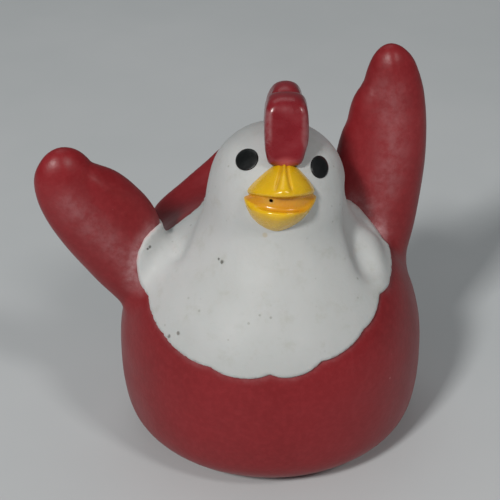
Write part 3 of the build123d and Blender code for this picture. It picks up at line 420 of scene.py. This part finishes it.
def bill_parts(p):
    q = (p - FC) @ FF
    x, y, z = q[:, 0], q[:, 1], q[:, 2]
    tilt = 0.108 * x
    # upper bill: a puffed roof with a pinched ridge, its rim rising to the tip
    t = np.clip((-10.3 - y) / 7.4, -0.4, 1.3)
    tc = np.clip(t, 0, 1)
    au = 6.25 * np.sqrt(np.clip(1 - tc ** 1.9, 0.03, 1))
    hu = 6.1 - 5.1 * tc ** 1.25
    zu = tilt - 0.1 + 2.0 * tc
    n = 1.34
    ku = (np.sqrt(x * x + 0.25) / au) ** n + (np.maximum(z - zu, 0) / hu) ** n
    up = smax((ku ** (1 / n) - 1) * 0.75 * np.minimum(au, hu + 0.6), zu - z, 1.2)
    up = smax(up, -17.75 - y, 0.8)
    up = smax(up, y + 8.0, 0.3)
    up = up - 0.14 * np.exp(-(x / 0.8) ** 2) * np.clip((z - 2.6) / 2.0, 0, 1)
    for x0, x1 in ((-0.45, -1.5), (0.45, 1.8)):
        up = up + 0.30 * np.exp(-((x - crease_line(z, x0, x1)) / 0.26) ** 2) * np.clip((z - 2.5) / 1.0, 0, 1)
    # lower bill: a scoop that hangs open
    t = np.clip((-10.3 - y) / 7.1, 0, 1)
    al = 6.25 * np.sqrt(np.clip(1 - t ** 2.1, 0.03, 1))
    hl = 0.8 + 5.9 * (1 - t ** 1.7)
    zl = tilt - 0.3 - 0.8 * t
    n = 1.62
    kl = (np.abs(x) / al) ** n + (np.maximum(zl - z, 0) / hl) ** n
    low = smax((kl ** (1 / n) - 1) * 0.75 * np.minimum(al, hl + 0.4), z - zl, 0.7)
    low = smax(low, -17.4 - y, 0.8)
    low = smax(low, y + 8.0, 0.3)
    scoop = (np.sqrt(((x - 1.2) / 4.3) ** 2 + ((y + 14.2) / 2.5) ** 2 + ((z + 0.4 - tilt) / 1.3) ** 2) - 1) * 1.3
    low = smax(low, -scoop, 0.6)
    # the mouth between them is closed by a wall set back from the rims
    wall = (np.sqrt((x / 6.2) ** 2 + ((y + 9.6) / 6.1) ** 2) - 1) * 5.0
    wall = smax(wall, np.maximum(z - tilt - 2.2 + 0.42 * np.abs(x), -2.2 + tilt - z + 0.25 * np.abs(x)), 0.5)
    return up, low, wall, scoop, q


PIN = (-1.75, 0.35)


def f_beak(p):
    up, low, wall, _, q = bill_parts(p)
    d = smin(smin(up, low, 0.4), wall, 0.7)
    hole = np.maximum(np.hypot(q[:, 0] - PIN[0], q[:, 2] - PIN[1]) - 0.27, np.abs(q[:, 1] + 14.4) - 1.6)
    return np.maximum(d, -hole)


def eye_field(side):
    lean = -0.30 if side > 0 else 0.45

    def f(p):
        q = (p - FC) @ FF
        v = q - np.array([side * 6.42, -9.0, 4.75])
        e = (np.sqrt(((v[:, 0] - lean * v[:, 2]) / (1.66 if side > 0 else 1.84)) ** 2 + (v[:, 2] / 1.68) ** 2) - 1) * 1.6
        hd = f_head(p)
        d = smax(e, hd - 0.22, 0.35)
        return np.maximum(np.maximum(d, -(hd + 0.9)), q[:, 1] + 3)
    return f


# ------------------------------------------------------------------ surface from a distance function
def surface(name, f, low, high, h, steps=5):
    """Surface nets over a grid, then every point is moved onto the surface."""
    xs = [np.arange(low[i], high[i] + h, h) for i in range(3)]
    nx, ny, nz = (len(a) for a in xs)
    # values of the distance function on every point of the grid
    val = np.empty((nx, ny, nz))
    gy, gz = np.meshgrid(xs[1], xs[2], indexing="ij")
    yz = np.stack([gy.ravel(), gz.ravel()], 1)
    for i, x in enumerate(xs[0]):
        val[i] = f(np.column_stack([np.full(len(yz), x), yz])).reshape(ny, nz)
    s = val < 0
    corners = [(a, b, c) for a in (0, 1) for b in (0, 1) for c in (0, 1)]
    cnt = sum(s[a:nx - 1 + a, b:ny - 1 + b, c:nz - 1 + c].astype(np.int8) for a, b, c in corners)
    cells = np.argwhere((cnt > 0) & (cnt < 8))
    idx = -np.ones((nx - 1, ny - 1, nz - 1), int)
    idx[tuple(cells.T)] = np.arange(len(cells))
    acc = np.zeros((len(cells), 3))
    num = np.zeros(len(cells))
    for a in range(3):
        for b in (0, 1):
            for c in (0, 1):
                o = [0, 0, 0]
                others = [k for k in range(3) if k != a]
                o[others[0]], o[others[1]] = b, c
                p0 = cells + np.array(o)
                p1 = p0.copy()
                p1[:, a] += 1
                v0, v1 = val[tuple(p0.T)], val[tuple(p1.T)]
                m = (v0 < 0) != (v1 < 0)
                t = np.where(m, v0 / np.where(m, v0 - v1, 1), 0)
                pt = p0.astype(float)
                pt[:, a] += t
                acc[m] += pt[m]
                num[m] += 1
    verts = np.array([xs[0][0], xs[1][0], xs[2][0]]) + acc / num[:, None] * h
    quads = []
    for a in range(3):
        b, c = [(1, 2), (2, 0), (0, 1)][a]
        sl0 = [slice(None)] * 3
        sl1 = [slice(None)] * 3
        sl0[a], sl1[a] = slice(0, -1), slice(1, None)
        diff = s[tuple(sl0)] != s[tuple(sl1)]
        e = np.argwhere(diff)
        shp = np.array(idx.shape)
        ok = (e[:, b] > 0) & (e[:, c] > 0) & (e[:, b] < shp[b]) & (e[:, c] < shp[c])
        e = e[ok]
        ring = []
        for ob, oc in ((-1, -1), (0, -1), (0, 0), (-1, 0)):
            g = e.copy()
            g[:, b] += ob
            g[:, c] += oc
            ring.append(idx[tuple(g.T)])
        ring = np.stack(ring, 1)
        out = s[tuple(e.T)]
        ring[~out] = ring[~out][:, ::-1]
        quads.append(ring)
    quads = np.vstack(quads)
    quads = quads[(quads >= 0).all(1)]

    def grad(p):
        g = np.zeros_like(p)
        for k in range(3):
            d = np.zeros(3)
            d[k] = 0.06
            g[:, k] = (f(p + d) - f(p - d)) / 0.12
        return g

    # neighbours for even spacing
    ed = np.vstack([quads[:, [0, 1]], quads[:, [1, 2]], quads[:, [2, 3]], quads[:, [3, 0]]])
    deg = np.bincount(ed.ravel(), minlength=len(verts)).astype(float)
    deg[deg == 0] = 1
    for k in range(steps):
        g = grad(verts)
        gl = np.maximum((g ** 2).sum(1), 0.15)
        step = f(verts)[:, None] * g / gl[:, None]
        ln = np.linalg.norm(step, axis=1)
        step *= np.minimum(1, 0.6 * h / np.maximum(ln, 1e-9))[:, None]
        verts = verts - step
        if k < steps - 2:
            m = np.zeros_like(verts)
            for i in range(3):
                m[:, i] = (np.bincount(ed[:, 0], verts[ed[:, 1], i], len(verts))
                           + np.bincount(ed[:, 1], verts[ed[:, 0], i], len(verts))) / deg
            n = g / np.maximum(np.linalg.norm(g, axis=1), 1e-6)[:, None]
            mv = (m - verts)
            mv -= n * (mv * n).sum(1)[:, None]
            verts = verts + 0.5 * mv
    mesh = bpy.data.meshes.new(name)
    mesh.from_pydata((verts * MM).tolist(), [], quads.tolist())
    mesh.validate()
    mesh.update()
    mesh.polygons.foreach_set("use_smooth", [True] * len(mesh.polygons))
    obj = bpy.data.objects.new(name, mesh)
    scene.collection.objects.link(obj)
    print(name, len(verts), "points", len(quads), "quads")
    return obj


def attribute(obj, name, values):
    a = obj.data.attributes.new(name, "FLOAT", "POINT")
    a.data.foreach_set("value", np.asarray(values, np.float32))


def points_of(obj):
    co = np.empty(len(obj.data.vertices) * 3, np.float32)
    obj.data.vertices.foreach_get("co", co)
    return co.reshape(-1, 3).astype(float) / MM


# ------------------------------------------------------------------ materials
def srgb(r, g, b):
    return tuple((c / 255 / 12.92) if c / 255 <= 0.04045 else ((c / 255 + 0.055) / 1.055) ** 2.4 for c in (r, g, b)) + (1.0,)


class Mat:
    """A small helper for node materials."""

    def __init__(self, name, rough=0.5, metal=0.0, spec=0.5, coat=0.0, coat_rough=0.2, sheen=0.0, sheen_rough=0.5, ior=1.5,
                 sss=0.0, sss_radius=(0.002, 0.0006, 0.0004), aniso=0.0):
        m = bpy.data.materials.new(name)
        m.use_nodes = True
        self.m, self.t = m, m.node_tree
        self.b = self.t.nodes["Principled BSDF"]
        self.set("Roughness", rough)
        self.set("Metallic", metal)
        self.set("Specular IOR Level", spec)
        self.set("Coat Weight", coat)
        self.set("Coat Roughness", coat_rough)
        self.set("Sheen Weight", sheen)
        self.set("Sheen Roughness", sheen_rough)
        self.set("IOR", ior)
        self.set("Anisotropic", aniso)
        if sss:
            self.set("Subsurface Weight", sss)
            self.b.inputs["Subsurface Radius"].default_value = (1, 0.35, 0.25)
            self.set("Subsurface Scale", sss_radius[0])
        self.pos = self.t.nodes.new("ShaderNodeTexCoord").outputs["Object"]
        self.height = None

    def set(self, k, v):
        if k in self.b.inputs:
            self.b.inputs[k].default_value = v

    def link(self, a, b):
        self.t.links.new(a, b)

    def noise(self, scale, detail=3.0, rough=0.5, dist=0.0, stretch=None):
        n = self.t.nodes.new("ShaderNodeTexNoise")
        n.inputs["Scale"].default_value = scale
        n.inputs["Detail"].default_value = detail
        n.inputs["Roughness"].default_value = rough
        n.inputs["Distortion"].default_value = dist
        v = self.pos
        if stretch:
            mp = self.t.nodes.new("ShaderNodeMapping")
            mp.inputs["Scale"].default_value = stretch
            self.link(v, mp.inputs["Vector"])
            v = mp.outputs["Vector"]
        self.link(v, n.inputs["Vector"])
        return n.outputs["Fac"]

    def voronoi(self, scale, feature="F1", rand=1.0):
        n = self.t.nodes.new("ShaderNodeTexVoronoi")
        n.feature = feature
        n.inputs["Scale"].default_value = scale
        n.inputs["Randomness"].default_value = rand
        self.link(self.pos, n.inputs["Vector"])
        return n.outputs["Distance"]

    def far(self, c):
        """Distance from a point given in millimetres."""
        n = self.t.nodes.new("ShaderNodeVectorMath")
        n.operation = "DISTANCE"
        self.link(self.pos, n.inputs[0])
        n.inputs[1].default_value = (c[0] / 1000, c[1] / 1000, c[2] / 1000)
        return n.outputs["Value"]

    def attr(self, name):
        n = self.t.nodes.new("ShaderNodeAttribute")
        n.attribute_name = name
        return n.outputs["Fac"]

    def math(self, op, a, b=0.0, c=None):
        n = self.t.nodes.new("ShaderNodeMath")
        n.operation = op
        for i, v in enumerate((a, b) if c is None else (a, b, c)):
            if isinstance(v, (int, float)):
                n.inputs[i].default_value = v
            else:
                self.link(v, n.inputs[i])
        return n.outputs[0]

    def band(self, v, lo, hi, a=0.0, b=1.0, mode="SMOOTHSTEP"):
        n = self.t.nodes.new("ShaderNodeMapRange")
        n.interpolation_type = mode
        n.inputs["From Min"].default_value = lo
        n.inputs["From Max"].default_value = hi
        n.inputs["To Min"].default_value = a
        n.inputs["To Max"].default_value = b
        self.link(v, n.inputs["Value"])
        return n.outputs["Result"]

    def mix(self, fac, a, b):
        n = self.t.nodes.new("ShaderNodeMix")
        n.data_type = "RGBA"
        if isinstance(fac, (int, float)):
            n.inputs[0].default_value = fac
        else:
            self.link(fac, n.inputs[0])
        for i, v in ((6, a), (7, b)):
            if isinstance(v, tuple):
                n.inputs[i].default_value = v
            else:
                self.link(v, n.inputs[i])
        return n.outputs[2]

    def color(self, v):
        if isinstance(v, tuple):
            self.b.inputs["Base Color"].default_value = v
        else:
            self.link(v, self.b.inputs["Base Color"])

    def rough(self, v):
        self.link(v, self.b.inputs["Roughness"])

    def add_height(self, v, amount):
        h = self.math("MULTIPLY", v, amount)
        self.height = h if self.height is None else self.math("ADD", self.height, h)

    def finish(self, distance=0.001):
        if self.height is not None:
            n = self.t.nodes.new("ShaderNodeBump")
            n.inputs["Strength"].default_value = 1.0
            n.inputs["Distance"].default_value = distance
            self.link(self.height, n.inputs["Height"])
            self.link(n.outputs["Normal"], self.b.inputs["Normal"])
            self.link(n.outputs["Normal"], self.b.inputs["Coat Normal"])
        return self.m


def red_vinyl():
    m = Mat("red_vinyl", spec=0.36, sheen=0.01, sheen_rough=0.5, sss=0.04)
    cloud = m.noise(45, 4, 0.55)
    fine = m.noise(900, 3, 0.6)
    base = m.mix(m.band(cloud, 0.35, 0.68), srgb(124, 22, 27), srgb(133, 25, 31))
    base = m.mix(m.math("MULTIPLY", m.band(fine, 0.35, 0.75), 0.22), base, srgb(160, 48, 54))
    specks = m.band(m.voronoi(330), 0.05, 0.10, 1.0, 0.0)
    keep = m.band(m.noise(120, 2), 0.60, 0.66)
    base = m.mix(m.math("MULTIPLY", m.math("MULTIPLY", specks, keep), 0.35), base, srgb(196, 140, 140))
    dark = m.band(m.voronoi(210), 0.04, 0.09, 1.0, 0.0)
    keep2 = m.band(m.noise(95, 2, 0.5, 1.0), 0.62, 0.70)
    base = m.mix(m.math("MULTIPLY", m.math("MULTIPLY", dark, keep2), 0.5), base, srgb(78, 16, 22))
    # lilac-white: overspray haze at the wing roots and the cape's edge, together with painted highlight streaks along
    # both wings
    haze = m.math("MULTIPLY", m.attr("haze"), m.band(m.noise(420, 4, 0.7), 0.30, 0.72, 0.25, 1.0))
    base = m.mix(haze, base, srgb(205, 170, 172))
    scuff = m.math("MULTIPLY", m.attr("scuff"), m.band(m.noise(160, 5, 0.75, 0.6), 0.52, 0.70))
    base = m.mix(m.math("MULTIPLY", scuff, 0.10), base, srgb(186, 98, 100))
    m.color(base)
    m.rough(m.math("ADD", m.band(m.noise(70, 4, 0.6), 0.3, 0.7, 0.36, 0.47), m.math("MULTIPLY", haze, 0.25)))
    m.add_height(m.noise(1500, 2, 0.5), 0.030)
    m.add_height(m.noise(260, 3, 0.5), 0.045)
    m.add_height(m.noise(60, 2, 0.5), 0.08)
    return m.finish()


def white_paint():
    m = Mat("white_paint", spec=0.32, sheen=0.05, sss=0.05)
    base = m.mix(m.band(m.noise(40, 4, 0.6), 0.35, 0.7), srgb(184, 186, 184), srgb(193, 194, 193))
    grime = m.math("MULTIPLY", m.band(m.voronoi(400), 0.06, 0.13, 1.0, 0.0), m.band(m.noise(170, 3, 0.6), 0.48, 0.60))
    base = m.mix(m.math("MULTIPLY", grime, 0.5), base, srgb(120, 122, 110))
    chip = m.math("MULTIPLY", m.band(m.voronoi(150), 0.035, 0.075, 1.0, 0.0), m.band(m.noise(75, 3, 0.6, 0.8), 0.585, 0.63))
    base = m.mix(m.math("MULTIPLY", chip, 0.75), base, srgb(104, 100, 92))
    stain = m.band(m.noise(260, 5, 0.7), 0.50, 0.74)
    base = m.mix(m.math("MULTIPLY", stain, 0.30), base, srgb(160, 160, 146))
    marks = None
    for c, r in (((-23.06, -3.83, 42.00), 0.55), ((-23.5, -4.1, 41.8), 0.42), ((-11.06, -13.54, 43.31), 0.62),
                 ((-11.6, -12.8, 43.6), 0.42)):
        one = m.band(m.math("ADD", m.far(c), m.math("MULTIPLY", m.noise(1400, 3, 0.7), 0.0006)),
                     0.0003 + r * 0.0003, 0.0003 + r * 0.0008, 1.0, 0.0)
        marks = one if marks is None else m.math("MAXIMUM", marks, one)
    base = m.mix(m.math("MULTIPLY", marks, 0.8), base, srgb(74, 74, 66))
    ochre = m.band(m.far((-3.60, -15.35, 49.14)), 0.0003, 0.0006, 1.0, 0.0)
    base = m.mix(m.math("MULTIPLY", ochre, 0.35), base, srgb(170, 140, 60))
    # pale pink line along the cape's raised edge: a painted highlight on its rim
    edge = m.attr("edge")
    base = m.mix(m.math("MULTIPLY", m.band(edge, 0.2, 1.0), m.band(m.noise(600, 3, 0.6), 0.45, 0.7, 0.15, 0.75)), base,
                 srgb(214, 178, 176))
    m.color(base)
    m.rough(m.band(m.noise(130, 4, 0.6), 0.3, 0.7, 0.50, 0.62))
    m.add_height(m.noise(1300, 2, 0.5), 0.035)
    m.add_height(m.noise(240, 4, 0.55), 0.07)
    m.add_height(chip, -0.10)
    m.add_height(marks, -0.08)
    return m.finish()


def comb_red():
    m = Mat("comb_red", spec=0.45, coat=0.28, coat_rough=0.16, sss=0.04)
    base = m.mix(m.band(m.noise(150, 4, 0.6), 0.35, 0.7), srgb(120, 22, 30), srgb(131, 27, 36))
    # pale grey-pink band on the comb's bevels: edge wear together with a painted reflection of the lights
    bevel_wear_and_sheen = m.math("MULTIPLY", m.band(m.attr("bevel"), 0.25, 0.8), m.band(m.noise(380, 4, 0.7, 0.4), 0.38, 0.62))
    base = m.mix(m.math("MULTIPLY", bevel_wear_and_sheen, 0.42), base, srgb(158, 112, 114))
    base = m.mix(m.math("MULTIPLY", m.attr("root"), 0.75), base, srgb(196, 92, 92))
    m.color(base)
    m.rough(m.band(m.noise(300, 4, 0.6), 0.3, 0.75, 0.24, 0.42))
    m.add_height(m.noise(520, 3, 0.55), 0.06)
    m.add_height(m.noise(190, 2, 0.5), 0.10)
    return m.finish()


def bill_yellow():
    m = Mat("bill_yellow", spec=0.45, coat=0.40, coat_rough=0.10, sss=0.05)
    base = m.mix(m.band(m.noise(220, 4, 0.6), 0.35, 0.7), srgb(226, 178, 12), srgb(236, 188, 20))
    # ochre in the mouth, on the wall behind it and under the upper bill's rim: painted shade
    base = m.mix(m.math("MULTIPLY", m.attr("mouth"), m.band(m.noise(500, 3, 0.6), 0.3, 0.7, 0.75, 1.0)), base, srgb(214, 146, 30))
    # darker yellow along the two nostril creases: painted shade
    base = m.mix(m.attr("crease"), base, srgb(176, 116, 22))
    # near-black in and round the pinhole: painted shade
    base = m.mix(m.attr("hole"), base, srgb(28, 8, 6))
    base = m.mix(m.attr("rim"), base, srgb(196, 170, 92))
    m.color(base)
    m.rough(m.band(m.noise(420, 3, 0.6), 0.3, 0.75, 0.22, 0.36))
    m.add_height(m.noise(700, 3, 0.55), 0.05)
    m.add_height(m.noise(260, 2, 0.5), 0.09)
    return m.finish()


def eye_black():
    m = Mat("eye_black", spec=0.4, coat=0.15, coat_rough=0.25)
    m.color(m.mix(m.band(m.noise(600, 4, 0.6), 0.45, 0.75), srgb(6, 8, 8), srgb(20, 23, 23)))
    m.rough(m.band(m.noise(500, 3, 0.6), 0.3, 0.7, 0.30, 0.46))
    m.add_height(m.noise(900, 3, 0.5), 0.05)
    return m.finish()


def plastic(name, c1, c2, rough=(0.35, 0.5), grain=0.05, scale=900, sss=0.0, coat=0.0, scratch=True):
    m = Mat(name, spec=0.5, sss=sss, coat=coat)
    base = m.mix(m.band(m.noise(60, 4, 0.6), 0.35, 0.7), srgb(*c1), srgb(*c2))
    if scratch:
        sc = m.math("MULTIPLY", m.band(m.noise(180, 4, 0.7, 0.3, (1.0, 14.0, 1.0)), 0.62, 0.72),
                    m.band(m.noise(50, 3), 0.48, 0.6))
        base = m.mix(m.math("MULTIPLY", sc, 0.25), base, srgb(*[min(255, int(c * 0.6 + 90)) for c in c1]))
    m.color(base)
    m.rough(m.band(m.noise(140, 4, 0.6), 0.3, 0.7, rough[0], rough[1]))
    m.add_height(m.noise(scale, 2, 0.5), grain)
    m.add_height(m.noise(120, 2, 0.5), 0.04)
    return m.finish()


def metal(name, c1, c2, rough=(0.25, 0.42), brush=(1.0, 1.0, 22.0), aniso=0.35, tarnish=(90, 80, 70), amount=0.25):
    m = Mat(name, metal=1.0, aniso=aniso)
    base = m.mix(m.band(m.noise(90, 5, 0.65), 0.35, 0.7), srgb(*c1), srgb(*c2))
    t = m.band(m.noise(220, 5, 0.7, 0.5), 0.58, 0.74)
    base = m.mix(m.math("MULTIPLY", t, amount), base, srgb(*tarnish))
    m.color(base)
    lines = m.noise(300, 3, 0.6, 0.0, brush)
    m.rough(m.band(lines, 0.3, 0.7, rough[0], rough[1]))
    m.add_height(lines, 0.02)
    return m.finish()


# ------------------------------------------------------------------ the pieces that show
H = 0.7
red = surface("red_shell", f_red, (-47, -32, -2), (35, 42, 77), H)
white = surface("white_head", f_white, (-30, -32, 22), (28, 20, 68), 0.5)
comb = surface("comb_form", f_comb, (-9, -17, 52), (9, 12, 76), 0.3)
bill = surface("bill", f_beak, (-10, -27, 42), (9, -7, 63), 0.17)
eyes = []
for side, nm in ((1, "eye_left_gloss"), (-1, "eye_right_gloss")):
    c = FC + FF @ np.array([side * 6.4, -9.0, 4.95])
    eyes.append(surface(nm, eye_field(side), c - 5, c + 5, 0.15))

p = points_of(red)
e = f_painted(p)
wl = np.clip(1 - np.abs(f_wing_l(p)) / 1.5, 0, 1)
wr = np.clip(1 - np.abs(f_wing_r(p)) / 1.5, 0, 1)


def near(p, c, r):
    d = np.linalg.norm(p - np.array(c), axis=1) / r
    return np.clip(1 - d, 0, 1) ** 1.2


# lilac-white tint on the red: real overspray haze at the wing roots and along the cape's edge, and further down painted
# highlight streaks along both wings
haze = np.clip(1.6 * near(p, (-23.5, -2.0, 36.5), 6.5) + 1.5 * near(p, (19.5, -1.5, 39.5), 5.0), 0, 1)
haze = np.maximum(haze, 0.30 * np.exp(-(np.clip(e, 0, 9) / 0.7) ** 2))
HAZE_L = [(-22.4, -2.1, 44.5), (-24.3, -3.6, 42.8), (-25.8, -4.3, 40.7), (-26.7, -4.8, 38.0), (-26.6, -4.8, 35.6)]
HAZE_R = [(16.5, 2.1, 44.3), (18.2, 1.3, 43.5), (19.8, 0.4, 41.8), (21.3, -0.5, 40.0)]
# painted highlight streaks: points down the middle of the left and of the right wing
HIGHLIGHT_STREAK_L = [(-37.2, -4.5, 52.5), (-33.6, -4.7, 48.2), (-30.3, -4.7, 43.7), (-27.3, -4.7, 39.7)]
HIGHLIGHT_STREAK_R = [(22.6, 3.2, 65.7), (23.5, 2.2, 61.0), (23.7, 1.3, 55.2), (22.3, 0.6, 48.4), (19.8, 0.5, 42.8)]
haze = np.maximum(haze, 0.85 * np.exp(-(along(p, HAZE_L) / 1.5) ** 2))
haze = np.maximum(haze, 0.55 * np.exp(-(along(p, HAZE_R) / 2.2) ** 2))
haze = np.maximum(haze, 0.30 * np.exp(-(along(p, HIGHLIGHT_STREAK_L) / 2.6) ** 2))
haze = np.maximum(haze, 0.30 * np.exp(-(along(p, HIGHLIGHT_STREAK_R) / 3.0) ** 2))
attribute(red, "haze", haze * 0.62)
attribute(red, "scuff", np.clip(0.25 + 0.9 * np.clip((p[:, 2] - 46) / 20, 0, 1) * (wl + wr), 0, 1))

p = points_of(white)
# band just inside the cape's edge that carries the painted highlight on its rim
attribute(white, "edge", np.clip(1 + f_painted(p) / 0.35, 0, 1))

p = points_of(comb)
q = (p - CC) @ CB
side = np.clip((np.abs(q[:, 0]) - 1.9) / 1.4, 0, 1)
attribute(comb, "bevel", side * np.clip((q[:, 2] - 9) / 4, 0, 1) * np.clip((-q[:, 1] - 5) / 4, 0, 1))
attribute(comb, "root", np.clip(1.25 - np.hypot(q[:, 0] / 1.9, (q[:, 2] - 8.7) / 1.5), 0, 1) * (q[:, 1] < -9))

p = points_of(bill)
up_, low_, wall_, scoop_, q = bill_parts(p)
t_ = np.clip((-10.3 - q[:, 1]) / 7.4, 0, 1)
rim_z = 0.108 * q[:, 0] - 0.1 + 2.0 * t_
# where the mouth's painted shade goes: the scoop, the underside of the upper bill's rim and the wall behind
inside = np.clip(1 - (scoop_ - 0.12) / 0.35, 0, 1) * (q[:, 2] < rim_z + 0.6)
under = np.clip((rim_z + 0.25 - q[:, 2]) / 0.4, 0, 1) * (up_ < low_)
back_ = (wall_ < np.minimum(up_, low_) + 0.05) * 1.0
attribute(bill, "mouth", np.clip(np.maximum(inside, np.maximum(under, back_)), 0, 1))
# painted shade along the two nostril creases
cr = np.zeros(len(p))
for x0, x1 in ((-0.45, -1.5), (0.45, 1.8)):
    cr = np.maximum(cr, np.exp(-((q[:, 0] - crease_line(q[:, 2], x0, x1)) / 0.26) ** 2) * np.clip((q[:, 2] - 2.3) / 0.8, 0, 1))
attribute(bill, "crease", cr * 0.38)
hr = np.hypot(q[:, 0] - PIN[0], q[:, 2] - PIN[1])
hd = (np.abs(q[:, 1] + 14.4) < 2.0) * 1.0
# near-black disc of painted shade over the pinhole
attribute(bill, "hole", np.clip((0.38 - hr) / 0.06, 0, 1) * hd)
attribute(bill, "rim", np.clip(1 - np.abs(hr - 0.52) / 0.12, 0, 1) * hd * 0.6)

for obj, mat, nodes, slot in (
        (red, red_vinyl(), ("body_shell",), "shell_red"),
        (white, white_paint(), ("head_shell",), "shell_white"),
        (comb, comb_red(), ("comb",), "comb_red"),
        (bill, bill_yellow(), ("beak",), "beak_yellow"),
        (eyes[0], eye_black(), ("eye_left",), "eye_black"),
        (eyes[1], None, ("eye_right",), "eye_black")):
    if mat is None:
        mat = eyes[0].data.materials[0]
    obj.data.materials.append(mat)
    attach(obj, "body")
    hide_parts(*nodes)

# ------------------------------------------------------------------ the CAD nodes that stay
finish = {
    "base_dark": plastic("base_plastic", (58, 14, 18), (68, 18, 22), (0.40, 0.55), 0.07, 700),
    "knob_white": plastic("knob_plastic", (226, 226, 220), (234, 233, 228), (0.28, 0.42), 0.03, 800, sss=0.08, coat=0.2),
    "foot_yellow": plastic("foot_plastic", (226, 174, 34), (236, 186, 48), (0.30, 0.45), 0.04, 800, sss=0.06, coat=0.15),
    "gear_white": plastic("acetal", (224, 224, 214), (232, 231, 222), (0.32, 0.45), 0.02, 900, sss=0.1, scratch=False),
    "frame_plate": metal("zinc_plate", (170, 172, 172), (186, 187, 186), (0.30, 0.46), (1.0, 1.0, 26.0)),
    "steel": metal("bright_steel", (188, 190, 192), (202, 203, 204), (0.16, 0.30), (1.0, 26.0, 1.0), 0.45),
    "spring_steel": metal("blued_spring", (104, 108, 118), (128, 130, 138), (0.22, 0.36), (1.0, 20.0, 1.0), 0.3, (90, 66, 40), 0.4),
    "brass": metal("brass", (205, 168, 90), (216, 182, 104), (0.20, 0.34), (14.0, 1.0, 1.0), 0.3, (120, 84, 40), 0.35),
    "screw_zinc": metal("screw_steel", (176, 178, 180), (196, 197, 198), (0.22, 0.38), (18.0, 1.0, 1.0), 0.2),
}
replaced = {"body_shell", "head_shell", "comb", "beak", "eye_left", "eye_right"}
materials = frame["record"]["materials"]
print("materials:", json.dumps(materials)[:600])
for name, obj in frame["nodes"].items():
    if name in replaced:
        continue
    objs = obj if isinstance(obj, (list, tuple)) else [obj]
    for o in objs:
        for s in o.material_slots:
            key = (s.material.name if s.material else "").split(".")[0]
            for k in finish:
                if k in key:
                    s.material = finish[k]
                    break
            else:
                print("no finish for", name, key)

# ------------------------------------------------------------------ floor, light
floor_mesh = bpy.data.meshes.new("floor")
floor_mesh.from_pydata([(-1.5, -1.5, 0), (1.5, -1.5, 0), (1.5, 2.5, 0), (-1.5, 2.5, 0)], [], [(0, 1, 2, 3)])
floor = bpy.data.objects.new("floor", floor_mesh)
scene.collection.objects.link(floor)
fm = Mat("floor", rough=0.55, spec=0.3)
fm.color(fm.mix(fm.band(fm.noise(9, 4, 0.6), 0.3, 0.7), srgb(194, 198, 199), srgb(200, 203, 204)))
floor_mesh.materials.append(fm.finish())

world = bpy.data.worlds.new("world")
scene.world = world
world.use_nodes = True
world.node_tree.nodes["Background"].inputs["Color"].default_value = (0.80, 0.86, 0.90, 1)
world.node_tree.nodes["Background"].inputs["Strength"].default_value = 0.14


def lamp(name, loc, target, size, power, color=(1, 1, 1), size_y=None):
    d = bpy.data.lights.new(name, "AREA")
    d.shape = "RECTANGLE"
    d.size = size
    d.size_y = size_y or size
    d.energy = power
    d.color = color
    o = bpy.data.objects.new(name, d)
    o.location = loc
    o.rotation_euler = (Vector(target) - Vector(loc)).to_track_quat("-Z", "Y").to_euler()
    scene.collection.objects.link(o)
    return o


lamp("key_left", (-0.63, -0.77, 0.87), (0, 0, 0.03), 0.18, 10.6, (1.0, 0.985, 0.97))
lamp("key_right", (0.54, -0.76, 0.92), (0, 0, 0.03), 0.20, 3.6, (1.0, 0.98, 0.96))
lamp("top", (-0.05, 0.35, 0.85), (0, 0, 0.03), 0.50, 0.7, (0.97, 0.99, 1.0))

scene.view_settings.view_transform = "Standard"
scene.view_settings.look = "None"
